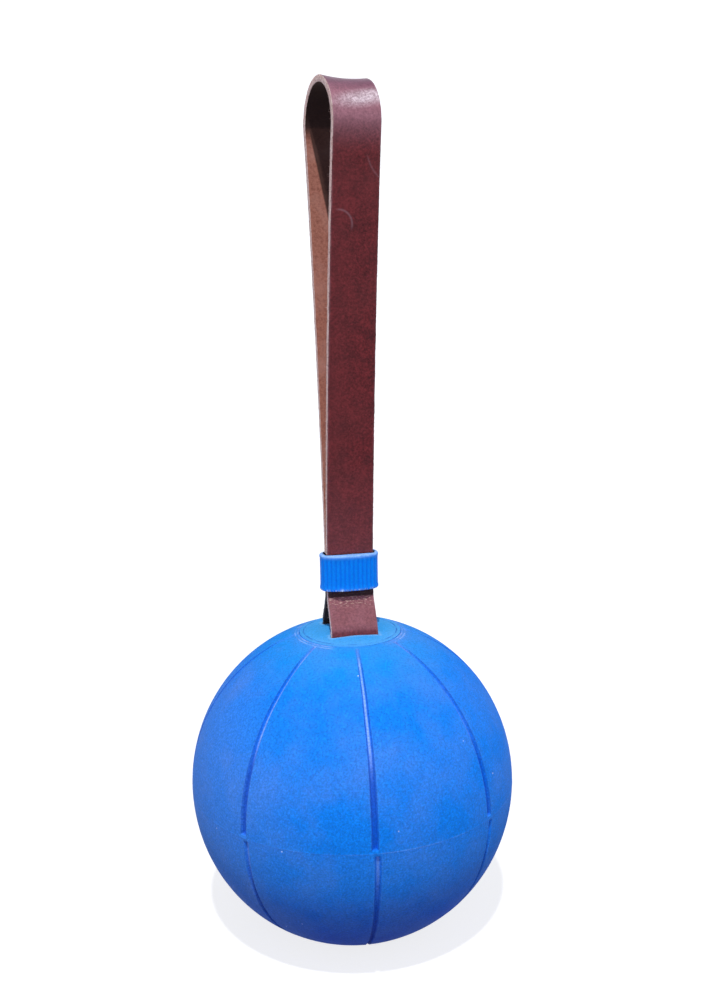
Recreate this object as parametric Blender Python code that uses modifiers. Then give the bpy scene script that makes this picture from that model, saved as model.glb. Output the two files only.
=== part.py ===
"""Slingball: a hollow rubber ball with a leather hand strap and a rubber slider.

Metres, +Z up. The ball stands on a small flat at its lower pole, and the origin is the middle of that flat.
The strap's outer faces look along -Y and +Y. The front run is the one towards -Y.
"""

import math

import bmesh
import bpy
from mathutils import Matrix, Vector

# Ball
BALL_DIAMETER = 0.175
WALL = 0.008
FLAT_DIAMETER = 0.050
PANELS = 8
PANEL_TURN = math.radians(-4.5)
GROOVE_WIDTH = 0.0044
GROOVE_DEPTH = 0.0016
GROOVE_STOP_EQUATOR = 0.0018
GROOVE_STOP_POLE = 0.0025
GROOVE_RUNOUT = 0.0006
TONGUE = 0.005

# Crown cap and its seat
CAP_MARGIN = 0.0078
CROWN_DOME = 0.0018
CROWN_DEPTH = 0.0130

# Strap
STRAP_WIDTH = 0.025
STRAP_THICKNESS = 0.0035
SLOT_SPACING = 0.024
LOOP_HEIGHT = 0.280
CREST_RADIUS = 0.020
STEM_RISE = 0.0190
SLIDE_TRAVEL = 0.110
STRAP_TWIST = math.radians(9.5)
STRAP_BEND = 0.002

# Slider
SLIDER_HEIGHT = 0.0195
SLIDER_SIDE_WALL = 0.0026
SLIDER_FACE_WALL = 0.0036
SLIDER_SEAT = 0.0045
SLIDER_EDGE = 0.0010
SLIDER_ROUNDNESS = 3.0

# Anchor under the crown
PLATE_MARGIN = 0.0008
PLATE_THICKNESS = 0.0025
PLATE_EDGE = 0.0005
BAR_DIAMETER = 0.012
BAR_OVERHANG = 0.0095
BAR_EDGE = 0.0010

# Rivets through the tails
RIVET_COUNT = 2
RIVET_SHANK_DIAMETER = 0.0036
RIVET_HEAD_LIP = 0.0027
RIVET_HEAD_HEIGHT = 0.0014
RIVET_PEEN_LIP = 0.0007
RIVET_PEEN_HEIGHT = 0.0010
RIVET_SPACE = 0.0015
LAP_MARGIN = 0.0025
BURR_RING = 0.0021
BURR_THICKNESS = 0.0008

# Clearances
GAP = 0.0003
SLOT_CLEARANCE = 0.0004
SLIDER_CLEARANCE = 0.0003

# Mesh fineness
COLUMNS_PER_PANEL = 9
GROOVE_SPANS = 4
OUTER_RINGS = 9
INNER_RINGS = 6
TURN_STEPS = 48
BAR_SIDES = 32
CREST_STEPS = 20
RIVET_SIDES = 16
SLIDER_SIDES = 48
WELD = 0.00001

# Sizes of the ball and its crown that follow from the ones above
BALL_RADIUS = BALL_DIAMETER / 2
INNER_RADIUS = BALL_RADIUS - WALL
FLAT_RADIUS = FLAT_DIAMETER / 2
CENTRE = math.sqrt(BALL_RADIUS**2 - FLAT_RADIUS**2)
HALF_THICKNESS = STRAP_THICKNESS / 2
SLOT_OFFSET = SLOT_SPACING / 2
SLOT_HALF_WIDTH = STRAP_WIDTH / 2 + SLOT_CLEARANCE
SLOT_HALF_DEPTH = HALF_THICKNESS + SLOT_CLEARANCE
CAP_RADIUS = CAP_MARGIN + math.hypot(SLOT_HALF_WIDTH, SLOT_OFFSET + SLOT_HALF_DEPTH)
HOLE_RADIUS = CAP_RADIUS + GAP
RIM = CENTRE + math.sqrt(BALL_RADIUS**2 - CAP_RADIUS**2)
CAP_TOP = RIM + CROWN_DOME
SEAT = RIM - CROWN_DEPTH
SEAT_RADIUS = math.sqrt(INNER_RADIUS**2 - (SEAT - CENTRE) ** 2)

# Heights of the strap and the slider
STEM_OFFSET = HALF_THICKNESS + GAP / 2
STEM_HALF = STRAP_THICKNESS + GAP / 2
PIVOT = RIM + STEM_RISE
SLIDER_BOTTOM = PIVOT + SLIDER_SEAT
STEM_TOP = SLIDER_BOTTOM + SLIDER_HEIGHT
RUN_TOP = STEM_TOP + SLIDE_TRAVEL
CREST_TOP = RIM + LOOP_HEIGHT
CREST_CENTRE = CREST_TOP - HALF_THICKNESS - CREST_RADIUS
LOOP_RISE = CREST_CENTRE - STEM_TOP
RUN_LEAN = math.asin(CREST_RADIUS / math.hypot(LOOP_RISE, STEM_OFFSET)) - math.atan2(
    STEM_OFFSET, LOOP_RISE
)

# Sizes of the anchor and the rivets
PLATE_RADIUS = SEAT_RADIUS - PLATE_MARGIN
PLATE_TOP = SEAT - GAP
PLATE_BOTTOM = PLATE_TOP - PLATE_THICKNESS
BAR_CENTRE = PLATE_BOTTOM - GAP - BAR_DIAMETER / 2
BAR_LENGTH = STRAP_WIDTH + 2 * BAR_OVERHANG
SHANK_RADIUS = RIVET_SHANK_DIAMETER / 2
HEAD_RADIUS = SHANK_RADIUS + RIVET_HEAD_LIP
PEEN_RADIUS = SHANK_RADIUS + RIVET_PEEN_LIP
BURR_BORE = SHANK_RADIUS + GAP
BURR_RADIUS = BURR_BORE + BURR_RING
RIVET_SPACING = 2 * HEAD_RADIUS + RIVET_SPACE
TAIL_LAP = RIVET_SPACING * (RIVET_COUNT - 1) + 2 * (HEAD_RADIUS + LAP_MARGIN)

BLUE = (0.023, 0.212, 0.807)
CAP_BLUE = (0.040, 0.290, 0.880)
SLIDER_BLUE = (0.005, 0.188, 0.922)
OXBLOOD = (0.130, 0.022, 0.032)
STEEL = (0.560, 0.570, 0.580)
COPPER = (0.720, 0.340, 0.180)


def clear_scene():
    """Remove every object that is already in the file."""
    for old in list(bpy.data.objects):
        bpy.data.objects.remove(old, do_unlink=True)


def new_collection(name):
    """A new collection under the scene's own."""
    collection = bpy.data.collections.new(name)
    bpy.context.scene.collection.children.link(collection)
    return collection


def finish(name, colour, roughness, metallic=0.0):
    """A material with one Principled shader."""
    material = bpy.data.materials.new(name)
    material.use_nodes = True
    shader = material.node_tree.nodes["Principled BSDF"]
    shader.inputs["Base Color"].default_value = (*colour, 1.0)
    shader.inputs["Roughness"].default_value = roughness
    shader.inputs["Metallic"].default_value = metallic
    return material


def add_object(name, mesh, collection, material=None):
    """Put a mesh in the scene as an object, smooth on its round faces."""
    item = bpy.data.objects.new(name, mesh)
    collection.objects.link(item)
    if material:
        mesh.materials.append(material)
        mesh.shade_smooth()
        mesh.set_sharp_from_angle(angle=math.radians(35))
    return item


def profile_mesh(name, points, closed):
    """A bare profile of (radius, height) points in the XZ plane."""
    edges = [(i, i + 1) for i in range(len(points) - 1)]
    if closed:
        edges.append((len(points) - 1, 0))
    mesh = bpy.data.meshes.new(name)
    mesh.from_pydata([(radius, 0.0, height) for radius, height in points], edges, [])
    return mesh


def turned(name, points, collection, material, steps=TURN_STEPS, closed=False):
    """Turn a profile round Z. The points run down the outer side first."""
    item = add_object(name, profile_mesh(name, points, closed), collection)
    screw = item.modifiers.new("Turn", "SCREW")
    screw.axis = "Z"
    screw.angle = 2 * math.pi
    screw.steps = steps
    screw.render_steps = steps
    screw.use_merge_vertices = True
    screw.merge_threshold = WELD
    screw.use_smooth_shade = True
    item.data.materials.append(material)
    return item


def baked(item):
    """Replace an object's mesh by its evaluated one and drop its modifiers."""
    bpy.context.view_layer.update()
    graph = bpy.context.evaluated_depsgraph_get()
    mesh = bpy.data.meshes.new_from_object(item.evaluated_get(graph))
    item.modifiers.clear()
    old = item.data
    item.data = mesh
    bpy.data.meshes.remove(old)
    mesh.shade_smooth()
    mesh.set_sharp_from_angle(angle=math.radians(35))
    return item


def cut(item, cutter):
    """Take the cutter's shape out of an object."""
    boolean = item.modifiers.new("Cut " + cutter.name, "BOOLEAN")
    boolean.operation = "DIFFERENCE"
    boolean.object = cutter
    boolean.solver = "EXACT"


def as_cutter(item):
    """Show an object as a guide only."""
    item.hide_render = True
    item.display_type = "WIRE"
    return item


def bevelled(item, width, segments=1):
    """Round an object's sharp edges."""
    bevel = item.modifiers.new("Edges", "BEVEL")
    bevel.width = width
    bevel.segments = segments
    bevel.limit_method = "ANGLE"
    bevel.angle_limit = math.radians(50)


def sphere_point(radius, latitude):
    """(radius, height) of a latitude on a sphere about the ball's centre."""
    return radius * math.cos(latitude), CENTRE + radius * math.sin(latitude)


def outer_latitudes(last):
    """Latitudes from the equator to the last one, with close rings where the grooves stop."""
    stop = GROOVE_STOP_EQUATOR / BALL_RADIUS
    runout = GROOVE_RUNOUT / BALL_RADIUS
    pole_stop = last - GROOVE_STOP_POLE / BALL_RADIUS
    first = stop + runout
    span = pole_stop - runout * 4 - first
    middle = [first + span * i / OUTER_RINGS for i in range(OUTER_RINGS + 1)]
    return [GAP / 2 / BALL_RADIUS, stop, *middle, pole_stop, last]


def inner_arc(start, end):
    """Points on the inside of the wall between two latitudes."""
    step = (end - start) / INNER_RINGS
    return [sphere_point(INNER_RADIUS, start + step * i) for i in range(INNER_RINGS + 1)]


def upper_profile():
    """Outline of the upper half: crown hole, outer wall, tongue, inner wall, seat."""
    hole_latitude = math.acos(HOLE_RADIUS / BALL_RADIUS)
    outer = [sphere_point(BALL_RADIUS, a) for a in outer_latitudes(hole_latitude)]
    step_radius = BALL_RADIUS - WALL / 2
    tongue_latitude = -math.asin(TONGUE / INNER_RADIUS)
    seat_latitude = math.asin((SEAT - CENTRE) / INNER_RADIUS)
    inner = inner_arc(tongue_latitude, seat_latitude)
    step = [(step_radius, CENTRE + GAP / 2), (step_radius, CENTRE - TONGUE)]
    seat = [(HOLE_RADIUS, SEAT)]
    return outer[::-1] + step + inner + seat


def lower_profile():
    """Outline of the lower half, from the inside of the floor up to the rim and down the outer wall."""
    flat_latitude = math.acos(FLAT_RADIUS / BALL_RADIUS)
    outer = [sphere_point(BALL_RADIUS, -a) for a in outer_latitudes(flat_latitude)]
    floor_latitude = math.asin((CENTRE - WALL) / INNER_RADIUS)
    rebate_latitude = math.asin((TONGUE + GAP) / INNER_RADIUS)
    inner = inner_arc(-floor_latitude, -rebate_latitude)
    rebate_radius = BALL_RADIUS - WALL / 2 + GAP
    rebate = [(rebate_radius, CENTRE - TONGUE - GAP), (rebate_radius, CENTRE - GAP / 2)]
    return [(0.0, WALL)] + inner + rebate + outer + [(0.0, 0.0)]


def panel_angle(column, radius):
    """Place of one mesh column: four narrow spans across each groove, wide ones between."""
    panel, place = divmod(column, COLUMNS_PER_PANEL)
    pitch = 2 * math.pi / PANELS
    half = math.asin(min(0.5, GROOVE_WIDTH / 2 / radius))
    if place <= GROOVE_SPANS:
        across = half * (2 * place / GROOVE_SPANS - 1)
    else:
        share = (place - GROOVE_SPANS) / (COLUMNS_PER_PANEL - GROOVE_SPANS)
        across = half + share * (pitch - 2 * half)
    return PANEL_TURN - math.pi / 2 + panel * pitch + across


def groove_sink(place, latitude, last):
    """Depth of the groove at one column place and latitude."""
    if place > GROOVE_SPANS:
        return 0.0
    across = 2 * place / GROOVE_SPANS - 1
    from_equator = abs(latitude) * BALL_RADIUS - GROOVE_STOP_EQUATOR
    from_pole = (last - abs(latitude)) * BALL_RADIUS - GROOVE_STOP_POLE
    fade = min(from_equator / GROOVE_RUNOUT, from_pole / (GROOVE_RUNOUT * 4), 1.0)
    return GROOVE_DEPTH * max(0.0, fade) * math.sqrt(max(0.0, 1 - abs(across) ** 2.5))


def press_grooves(item, last):
    """Gather the mesh columns at the grooves and press the grooves into the outer face."""
    columns = PANELS * COLUMNS_PER_PANEL
    step = 2 * math.pi / columns
    for vertex in item.data.vertices:
        radius = math.hypot(vertex.co.x, vertex.co.y)
        if radius < WELD:
            continue
        column = round(math.atan2(vertex.co.y, vertex.co.x) / step) % columns
        angle = panel_angle(column, radius)
        place = Vector(
            (radius * math.cos(angle), radius * math.sin(angle), vertex.co.z - CENTRE)
        )
        if abs(place.length - BALL_RADIUS) < WELD:
            latitude = math.asin(place.z / BALL_RADIUS)
            sink = groove_sink(column % COLUMNS_PER_PANEL, latitude, last)
            place *= 1 - sink / BALL_RADIUS
        vertex.co = place + Vector((0, 0, CENTRE))


def make_upper_half(collection):
    """Upper half of the ball, with the crown hole and the seat for the anchor plate."""
    material = finish("ball rubber upper", BLUE, 0.55)
    item = turned(
        "shell_upper_half",
        upper_profile(),
        collection,
        material,
        PANELS * COLUMNS_PER_PANEL,
        closed=True,
    )
    press_grooves(baked(item), math.acos(HOLE_RADIUS / BALL_RADIUS))


def make_lower_half(collection):
    """Lower half of the ball, closed at the standing flat."""
    item = turned(
        "shell_lower_half",
        lower_profile(),
        collection,
        finish("ball rubber lower", BLUE, 0.55),
        PANELS * COLUMNS_PER_PANEL,
    )
    press_grooves(baked(item), math.acos(FLAT_RADIUS / BALL_RADIUS))


def make_slot_cutter(collection):
    """Two upright boxes that cut the strap slots through the cap and the plate."""
    bottom = PLATE_BOTTOM - WALL
    top = CAP_TOP + WALL
    bm = bmesh.new()
    for side in (-1, 1):
        box = bmesh.ops.create_cube(bm, size=1.0)
        size = Matrix.Diagonal(
            (2 * SLOT_HALF_WIDTH, 2 * SLOT_HALF_DEPTH, top - bottom, 1)
        )
        place = Matrix.Translation((0, side * SLOT_OFFSET, (top + bottom) / 2))
        bmesh.ops.transform(bm, matrix=place @ size, verts=box["verts"])
    mesh = bpy.data.meshes.new("slot_cutter")
    bm.to_mesh(mesh)
    bm.free()
    return as_cutter(add_object("slot_cutter", mesh, collection))


def make_cap(collection, slots):
    """Crown cap: a plug with a low dome and two slots."""
    dome_radius = (CAP_RADIUS**2 + CROWN_DOME**2) / (2 * CROWN_DOME)
    dome_centre = CAP_TOP - dome_radius
    rings = 6
    dome = []
    for i in range(rings + 1):
        radius = CAP_RADIUS * i / rings
        dome.append((radius, dome_centre + math.sqrt(dome_radius**2 - radius**2)))
    bottom = [(CAP_RADIUS, SEAT), (0.0, SEAT)]
    item = turned(
        "crown_cap", dome + bottom, collection, finish("cap rubber", CAP_BLUE, 0.5)
    )
    cut(item, slots)


def make_plate(collection, slots):
    """Anchor plate: a steel disc with the same two slots."""
    points = [
        (0.0, PLATE_TOP),
        (PLATE_RADIUS - PLATE_EDGE, PLATE_TOP),
        (PLATE_RADIUS, PLATE_TOP - PLATE_EDGE),
        (PLATE_RADIUS, PLATE_BOTTOM + PLATE_EDGE),
        (PLATE_RADIUS - PLATE_EDGE, PLATE_BOTTOM),
        (0.0, PLATE_BOTTOM),
    ]
    item = turned(
        "anchor_plate", points, collection, finish("plate steel", STEEL, 0.4, 1.0)
    )
    cut(item, slots)


def make_crossbar(collection):
    """Crossbar: a steel rod along X between the tails, under the plate's bridge."""
    bm = bmesh.new()
    bmesh.ops.create_cone(
        bm,
        cap_ends=True,
        segments=BAR_SIDES,
        radius1=BAR_DIAMETER / 2,
        radius2=BAR_DIAMETER / 2,
        depth=BAR_LENGTH,
    )
    mesh = bpy.data.meshes.new("crossbar")
    bm.to_mesh(mesh)
    bm.free()
    item = add_object("crossbar", mesh, collection, finish("bar steel", STEEL, 0.35, 1))
    item.location = (0, 0, BAR_CENTRE)
    item.rotation_euler = (0, math.pi / 2, 0)
    bevelled(item, BAR_EDGE, 2)


def rounded(points, radius, steps=4):
    """A path of (y, z) points with its inner corners rounded."""
    path = [Vector(points[0])]
    for before, corner, after in zip(points, points[1:], points[2:]):
        corner = Vector(corner)
        inward = Vector(before) - corner
        outward = Vector(after) - corner
        reach = min(radius, inward.length / 2, outward.length / 2)
        start = corner + inward.normalized() * reach
        end = corner + outward.normalized() * reach
        for i in range(steps + 1):
            t = i / steps
            path.append(start.lerp(corner, t).lerp(corner.lerp(end, t), t))
    path.append(Vector(points[-1]))
    return path


def twist_at(height):
    """Turn of the strap about Z at one height: none up to the stem's top, all of it at the crest."""
    share = (height - STEM_TOP) / (CREST_CENTRE - STEM_TOP)
    return STRAP_TWIST * min(1.0, max(0.0, share))


def ribbon(name, path, collection, material):
    """A length of strap: a sheet along a (y, z) path, thickened on both sides."""
    bm = bmesh.new()
    start = [bm.verts.new((-STRAP_WIDTH / 2, p[0], p[1])) for p in path]
    edges = [bm.edges.new(pair) for pair in zip(start, start[1:])]
    swept = bmesh.ops.extrude_edge_only(bm, edges=edges)["geom"]
    far = [g for g in swept if isinstance(g, bmesh.types.BMVert)]
    bmesh.ops.translate(bm, verts=far, vec=(STRAP_WIDTH, 0, 0))
    for vertex in bm.verts:
        turn = Matrix.Rotation(twist_at(vertex.co.z), 3, "Z")
        vertex.co = turn @ vertex.co
    mesh = bpy.data.meshes.new(name)
    bm.to_mesh(mesh)
    bm.free()
    item = add_object(name, mesh, collection, material)
    solidify = item.modifiers.new("Thickness", "SOLIDIFY")
    solidify.thickness = STRAP_THICKNESS
    solidify.offset = 0.0
    solidify.use_even_offset = True
    return item


def leg_end():
    """Where a leg stops below the pivot, and its direction."""
    foot = Vector((SLOT_OFFSET, CAP_TOP + STRAP_BEND))
    aim = Vector((STEM_OFFSET, PIVOT))
    direction = (aim - foot).normalized()
    back = STEM_HALF + GAP + STEM_OFFSET * direction.x
    return foot, aim - direction * back


def tail_joint():
    """Height at which the tails meet, when each one runs from its slot past the bar with a gap."""
    start = Vector((SLOT_OFFSET, PLATE_BOTTOM - STRAP_BEND))
    to_bar = Vector((0, BAR_CENTRE)) - start
    clear = BAR_DIAMETER / 2 + HALF_THICKNESS + GAP
    turn = math.asin(clear / to_bar.length)
    direction = math.atan2(to_bar.y, to_bar.x) + turn
    return start.y - (SLOT_OFFSET - STEM_OFFSET) * math.tan(direction)


def make_tail(name, side, collection, rivet_holes):
    """One end of the strap: out of the slot, through cap and plate, round the bar, down to the rivets."""
    foot, top = leg_end()
    joint = tail_joint()
    points = [
        (STEM_OFFSET, joint - TAIL_LAP),
        (STEM_OFFSET, joint),
        (SLOT_OFFSET, PLATE_BOTTOM - STRAP_BEND),
        (SLOT_OFFSET, foot.y),
        (top.x, top.y),
    ]
    path = [(side * p.x, p.y) for p in rounded(points, STRAP_BEND)]
    item = ribbon(name, path, collection, finish(name + " leather", OXBLOOD, 0.6))
    cut(item, rivet_holes)


def make_stem(name, side, collection):
    """The part of one run that the slider holds at rest: straight, round at its foot."""
    bm = bmesh.new()
    outline = [(side * GAP / 2, STEM_TOP), (side * STEM_HALF, STEM_TOP)]
    quarter = 6
    for i in range(quarter + 1):
        angle = math.pi / 2 * i / quarter
        y = max(GAP / 2, STEM_HALF * math.cos(angle))
        z = PIVOT - math.sqrt(STEM_HALF**2 - y**2)
        outline.append((side * y, z))
    face = bm.faces.new([bm.verts.new((-STRAP_WIDTH / 2, y, z)) for y, z in outline])
    swept = bmesh.ops.extrude_face_region(bm, geom=[face])["geom"]
    far = [g for g in swept if isinstance(g, bmesh.types.BMVert)]
    bmesh.ops.translate(bm, verts=far, vec=(STRAP_WIDTH, 0, 0))
    bmesh.ops.recalc_face_normals(bm, faces=bm.faces)
    mesh = bpy.data.meshes.new(name)
    bm.to_mesh(mesh)
    bm.free()
    add_object(name, mesh, collection, finish(name + " leather", OXBLOOD, 0.6))


def make_run(name, side, collection):
    """One side of the hand loop, from the stem up to the top of the slider's travel."""
    hinge = bpy.data.objects.new(name + "_hinge", None)
    collection.objects.link(hinge)
    hinge.location = (0, side * STEM_OFFSET, STEM_TOP)
    start = STEM_TOP + GAP
    path = []
    for height in (start, (start + RUN_TOP) / 2, RUN_TOP):
        path.append(
            (side * (STEM_OFFSET + (height - STEM_TOP) * math.tan(RUN_LEAN)), height)
        )
    item = ribbon(name, path, collection, finish(name + " leather", OXBLOOD, 0.6))
    item.parent = hinge
    item.matrix_parent_inverse = Matrix.Translation(-hinge.location)


def make_crest(collection):
    """Top of the hand loop: the two upper sides and the round bend over the hand."""
    start = RUN_TOP + GAP * 2
    offset = STEM_OFFSET + (start - STEM_TOP) * math.tan(RUN_LEAN)
    sweep = math.pi + 2 * RUN_LEAN
    path = [(-offset, start)]
    for i in range(CREST_STEPS + 1):
        angle = math.pi + RUN_LEAN - sweep * i / CREST_STEPS
        path.append(
            (
                CREST_RADIUS * math.cos(angle),
                CREST_CENTRE + CREST_RADIUS * math.sin(angle),
            )
        )
    path.append((offset, start))
    ribbon("strap_crest", path, collection, finish("crest leather", OXBLOOD, 0.55))


def superellipse(width, depth, power, count):
    """Points round a flattened ring's outline."""
    points = []
    for i in range(count):
        angle = 2 * math.pi * i / count
        c = math.cos(angle)
        s = math.sin(angle)
        x = math.copysign(abs(c) ** (2 / power), c) * width / 2
        y = math.copysign(abs(s) ** (2 / power), s) * depth / 2
        points.append((x, y))
    return points


def make_slider(collection):
    """Slider: a flattened rubber ring round both runs of the strap."""
    curve = bpy.data.curves.new("slider", "CURVE")
    curve.dimensions = "2D"
    curve.fill_mode = "BOTH"
    curve.extrude = SLIDER_HEIGHT / 2
    inner_x = STRAP_WIDTH / 2 + SLIDER_CLEARANCE
    inner_y = STEM_HALF + SLIDER_CLEARANCE
    width = 2 * (inner_x + SLIDER_SIDE_WALL)
    depth = 2 * (inner_y + SLIDER_FACE_WALL)
    hole = [
        (inner_x, inner_y),
        (-inner_x, inner_y),
        (-inner_x, -inner_y),
        (inner_x, -inner_y),
    ]
    for outline in (superellipse(width, depth, SLIDER_ROUNDNESS, SLIDER_SIDES), hole):
        spline = curve.splines.new("POLY")
        spline.points.add(len(outline) - 1)
        for point, (x, y) in zip(spline.points, outline):
            point.co = (x, y, 0.0, 1.0)
        spline.use_cyclic_u = True
    guide = bpy.data.objects.new("slider_outline", curve)
    collection.objects.link(guide)
    bpy.context.view_layer.update()
    graph = bpy.context.evaluated_depsgraph_get()
    mesh = bpy.data.meshes.new_from_object(guide.evaluated_get(graph))
    bpy.data.objects.remove(guide, do_unlink=True)
    bm = bmesh.new()
    bm.from_mesh(mesh)
    bmesh.ops.remove_doubles(bm, verts=bm.verts, dist=WELD)
    bmesh.ops.recalc_face_normals(bm, faces=bm.faces)
    bm.to_mesh(mesh)
    bm.free()
    item = add_object(
        "slider", mesh, collection, finish("slider rubber", SLIDER_BLUE, 0.35)
    )
    item.location = (0, 0, SLIDER_BOTTOM + SLIDER_HEIGHT / 2)
    bevelled(item, SLIDER_EDGE, 2)


def rivet_heights():
    """Centre heights of the rivets, spread about the middle of the lap."""
    middle = tail_joint() - TAIL_LAP / 2
    first = middle - RIVET_SPACING * (RIVET_COUNT - 1) / 2
    return [first + RIVET_SPACING * i for i in range(RIVET_COUNT)]


def along_y(item, height):
    """Lay a turned piece along Y at a height."""
    item.location = (0, 0, height)
    item.rotation_euler = (math.pi / 2, 0, 0)


def make_rivet_hole_cutter(collection):
    """Round bars that cut the rivet holes through both tails."""
    bm = bmesh.new()
    for height in rivet_heights():
        bar = bmesh.ops.create_cone(
            bm,
            cap_ends=True,
            segments=RIVET_SIDES,
            radius1=SHANK_RADIUS + GAP,
            radius2=SHANK_RADIUS + GAP,
            depth=STRAP_THICKNESS * 4,
        )
        turn = Matrix.Rotation(math.pi / 2, 4, "X")
        place = Matrix.Translation((0, 0, height))
        bmesh.ops.transform(bm, matrix=place @ turn, verts=bar["verts"])
    mesh = bpy.data.meshes.new("rivet_hole_cutter")
    bm.to_mesh(mesh)
    bm.free()
    return as_cutter(add_object("rivet_hole_cutter", mesh, collection))


def make_rivet(name, height, collection):
    """Copper rivet through both tails, with its head in front and its peened end behind."""
    face = STEM_HALF + GAP
    back = -(STEM_HALF + GAP * 2 + BURR_THICKNESS)
    steps = 3
    points = []
    for i in range(steps + 1):
        angle = math.pi / 2 * i / steps
        rise = face + RIVET_HEAD_HEIGHT * math.cos(angle)
        points.append((HEAD_RADIUS * math.sin(angle), rise))
    points += [(SHANK_RADIUS, face), (SHANK_RADIUS, back - GAP)]
    for i in range(steps + 1):
        angle = math.pi / 2 * i / steps
        rise = back - GAP - RIVET_PEEN_HEIGHT * math.sin(angle)
        points.append((PEEN_RADIUS * math.cos(angle), rise))
    material = finish(name + " copper", COPPER, 0.35, 1.0)
    along_y(turned(name, points, collection, material, RIVET_SIDES), height)


def make_burr(name, height, collection):
    """Copper washer under a rivet's peened end."""
    near = -(STEM_HALF + GAP)
    far = near - BURR_THICKNESS
    points = [
        (BURR_RADIUS, near),
        (BURR_RADIUS, far),
        (BURR_BORE, far),
        (BURR_BORE, near),
    ]
    material = finish(name + " copper", COPPER, 0.4, 1.0)
    burr = turned(name, points, collection, material, RIVET_SIDES, closed=True)
    along_y(burr, height)


def main():
    """Build every piece."""
    clear_scene()
    parts = new_collection("slingball")
    cutters = new_collection("cutters")
    slots = make_slot_cutter(cutters)
    rivet_holes = make_rivet_hole_cutter(cutters)
    make_upper_half(parts)
    make_lower_half(parts)
    make_cap(parts, slots)
    make_plate(parts, slots)
    make_crossbar(parts)
    for number, height in enumerate(rivet_heights(), start=1):
        make_rivet(f"tail_rivet_{number}", height, parts)
        make_burr(f"rivet_burr_{number}", height, parts)
    for word, side in (("front", -1), ("rear", 1)):
        make_tail("strap_" + word + "_tail", side, parts, rivet_holes)
        make_stem("strap_" + word + "_stem", side, parts)
        make_run("strap_" + word + "_run", side, parts)
    make_crest(parts)
    make_slider(parts)


main()
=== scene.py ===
"""Slingball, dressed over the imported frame.

A hollow rubber ball in two moulded halves, its crown cap, one leather hand strap with a rubber slider, and
the steel anchor inside. Metres, +Z up. The strap's grain side looks along -Y on the front run and +Y on the
rear run.
"""

import functools
import logging
import math
import random
from collections.abc import Callable
from dataclasses import dataclass
from enum import Enum
from typing import Any

import bmesh
import bpy
import numpy as np
from mathutils import Euler, Matrix, Vector, noise


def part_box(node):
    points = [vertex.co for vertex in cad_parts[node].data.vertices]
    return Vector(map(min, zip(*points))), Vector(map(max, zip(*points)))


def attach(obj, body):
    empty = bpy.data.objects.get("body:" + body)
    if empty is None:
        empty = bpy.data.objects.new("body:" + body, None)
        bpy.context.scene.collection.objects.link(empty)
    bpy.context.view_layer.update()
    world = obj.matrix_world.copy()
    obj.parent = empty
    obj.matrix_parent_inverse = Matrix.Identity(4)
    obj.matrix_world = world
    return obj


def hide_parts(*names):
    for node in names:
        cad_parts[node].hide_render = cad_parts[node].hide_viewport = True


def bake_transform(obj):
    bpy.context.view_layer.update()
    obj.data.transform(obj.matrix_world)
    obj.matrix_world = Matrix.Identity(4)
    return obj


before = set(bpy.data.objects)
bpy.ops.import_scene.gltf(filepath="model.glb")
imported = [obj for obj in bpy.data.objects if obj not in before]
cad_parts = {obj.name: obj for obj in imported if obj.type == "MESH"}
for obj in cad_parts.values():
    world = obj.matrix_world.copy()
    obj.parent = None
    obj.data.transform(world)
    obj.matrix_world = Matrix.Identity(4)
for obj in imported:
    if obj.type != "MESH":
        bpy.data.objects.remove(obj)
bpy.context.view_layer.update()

LOG = logging.getLogger("slingball")
MM = 0.001
# Points closer than this touch, level cuts are this exact, and doubles are merged at this distance.
TOUCH = 0.01 * MM
CUT_EXACT = 0.0001 * MM
DOUBLES = 0.001 * MM
# What a mesh stores at its vertices for the rubber to read: painted light on the crown, dust with painted
# light on the ball's -X side, wear with painted highlights, and painted shade with dark seams.
STORED = ("crown_light", "dust", "wear", "shade_and_seams")
SOFT = {"interpolation_type": "SMOOTHSTEP"}
Span = tuple[float, float]


class Body(Enum):
    """The bodies that pieces ride on."""

    BALL = "ball"
    LOOP = "loop"
    FRONT_RUN = "front_run"
    REAR_RUN = "rear_run"
    SLIDER = "slider"


class Half(Enum):
    """Which half of the ball, as the sign of its height above the equator."""

    UPPER = 1
    LOWER = -1


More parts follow.
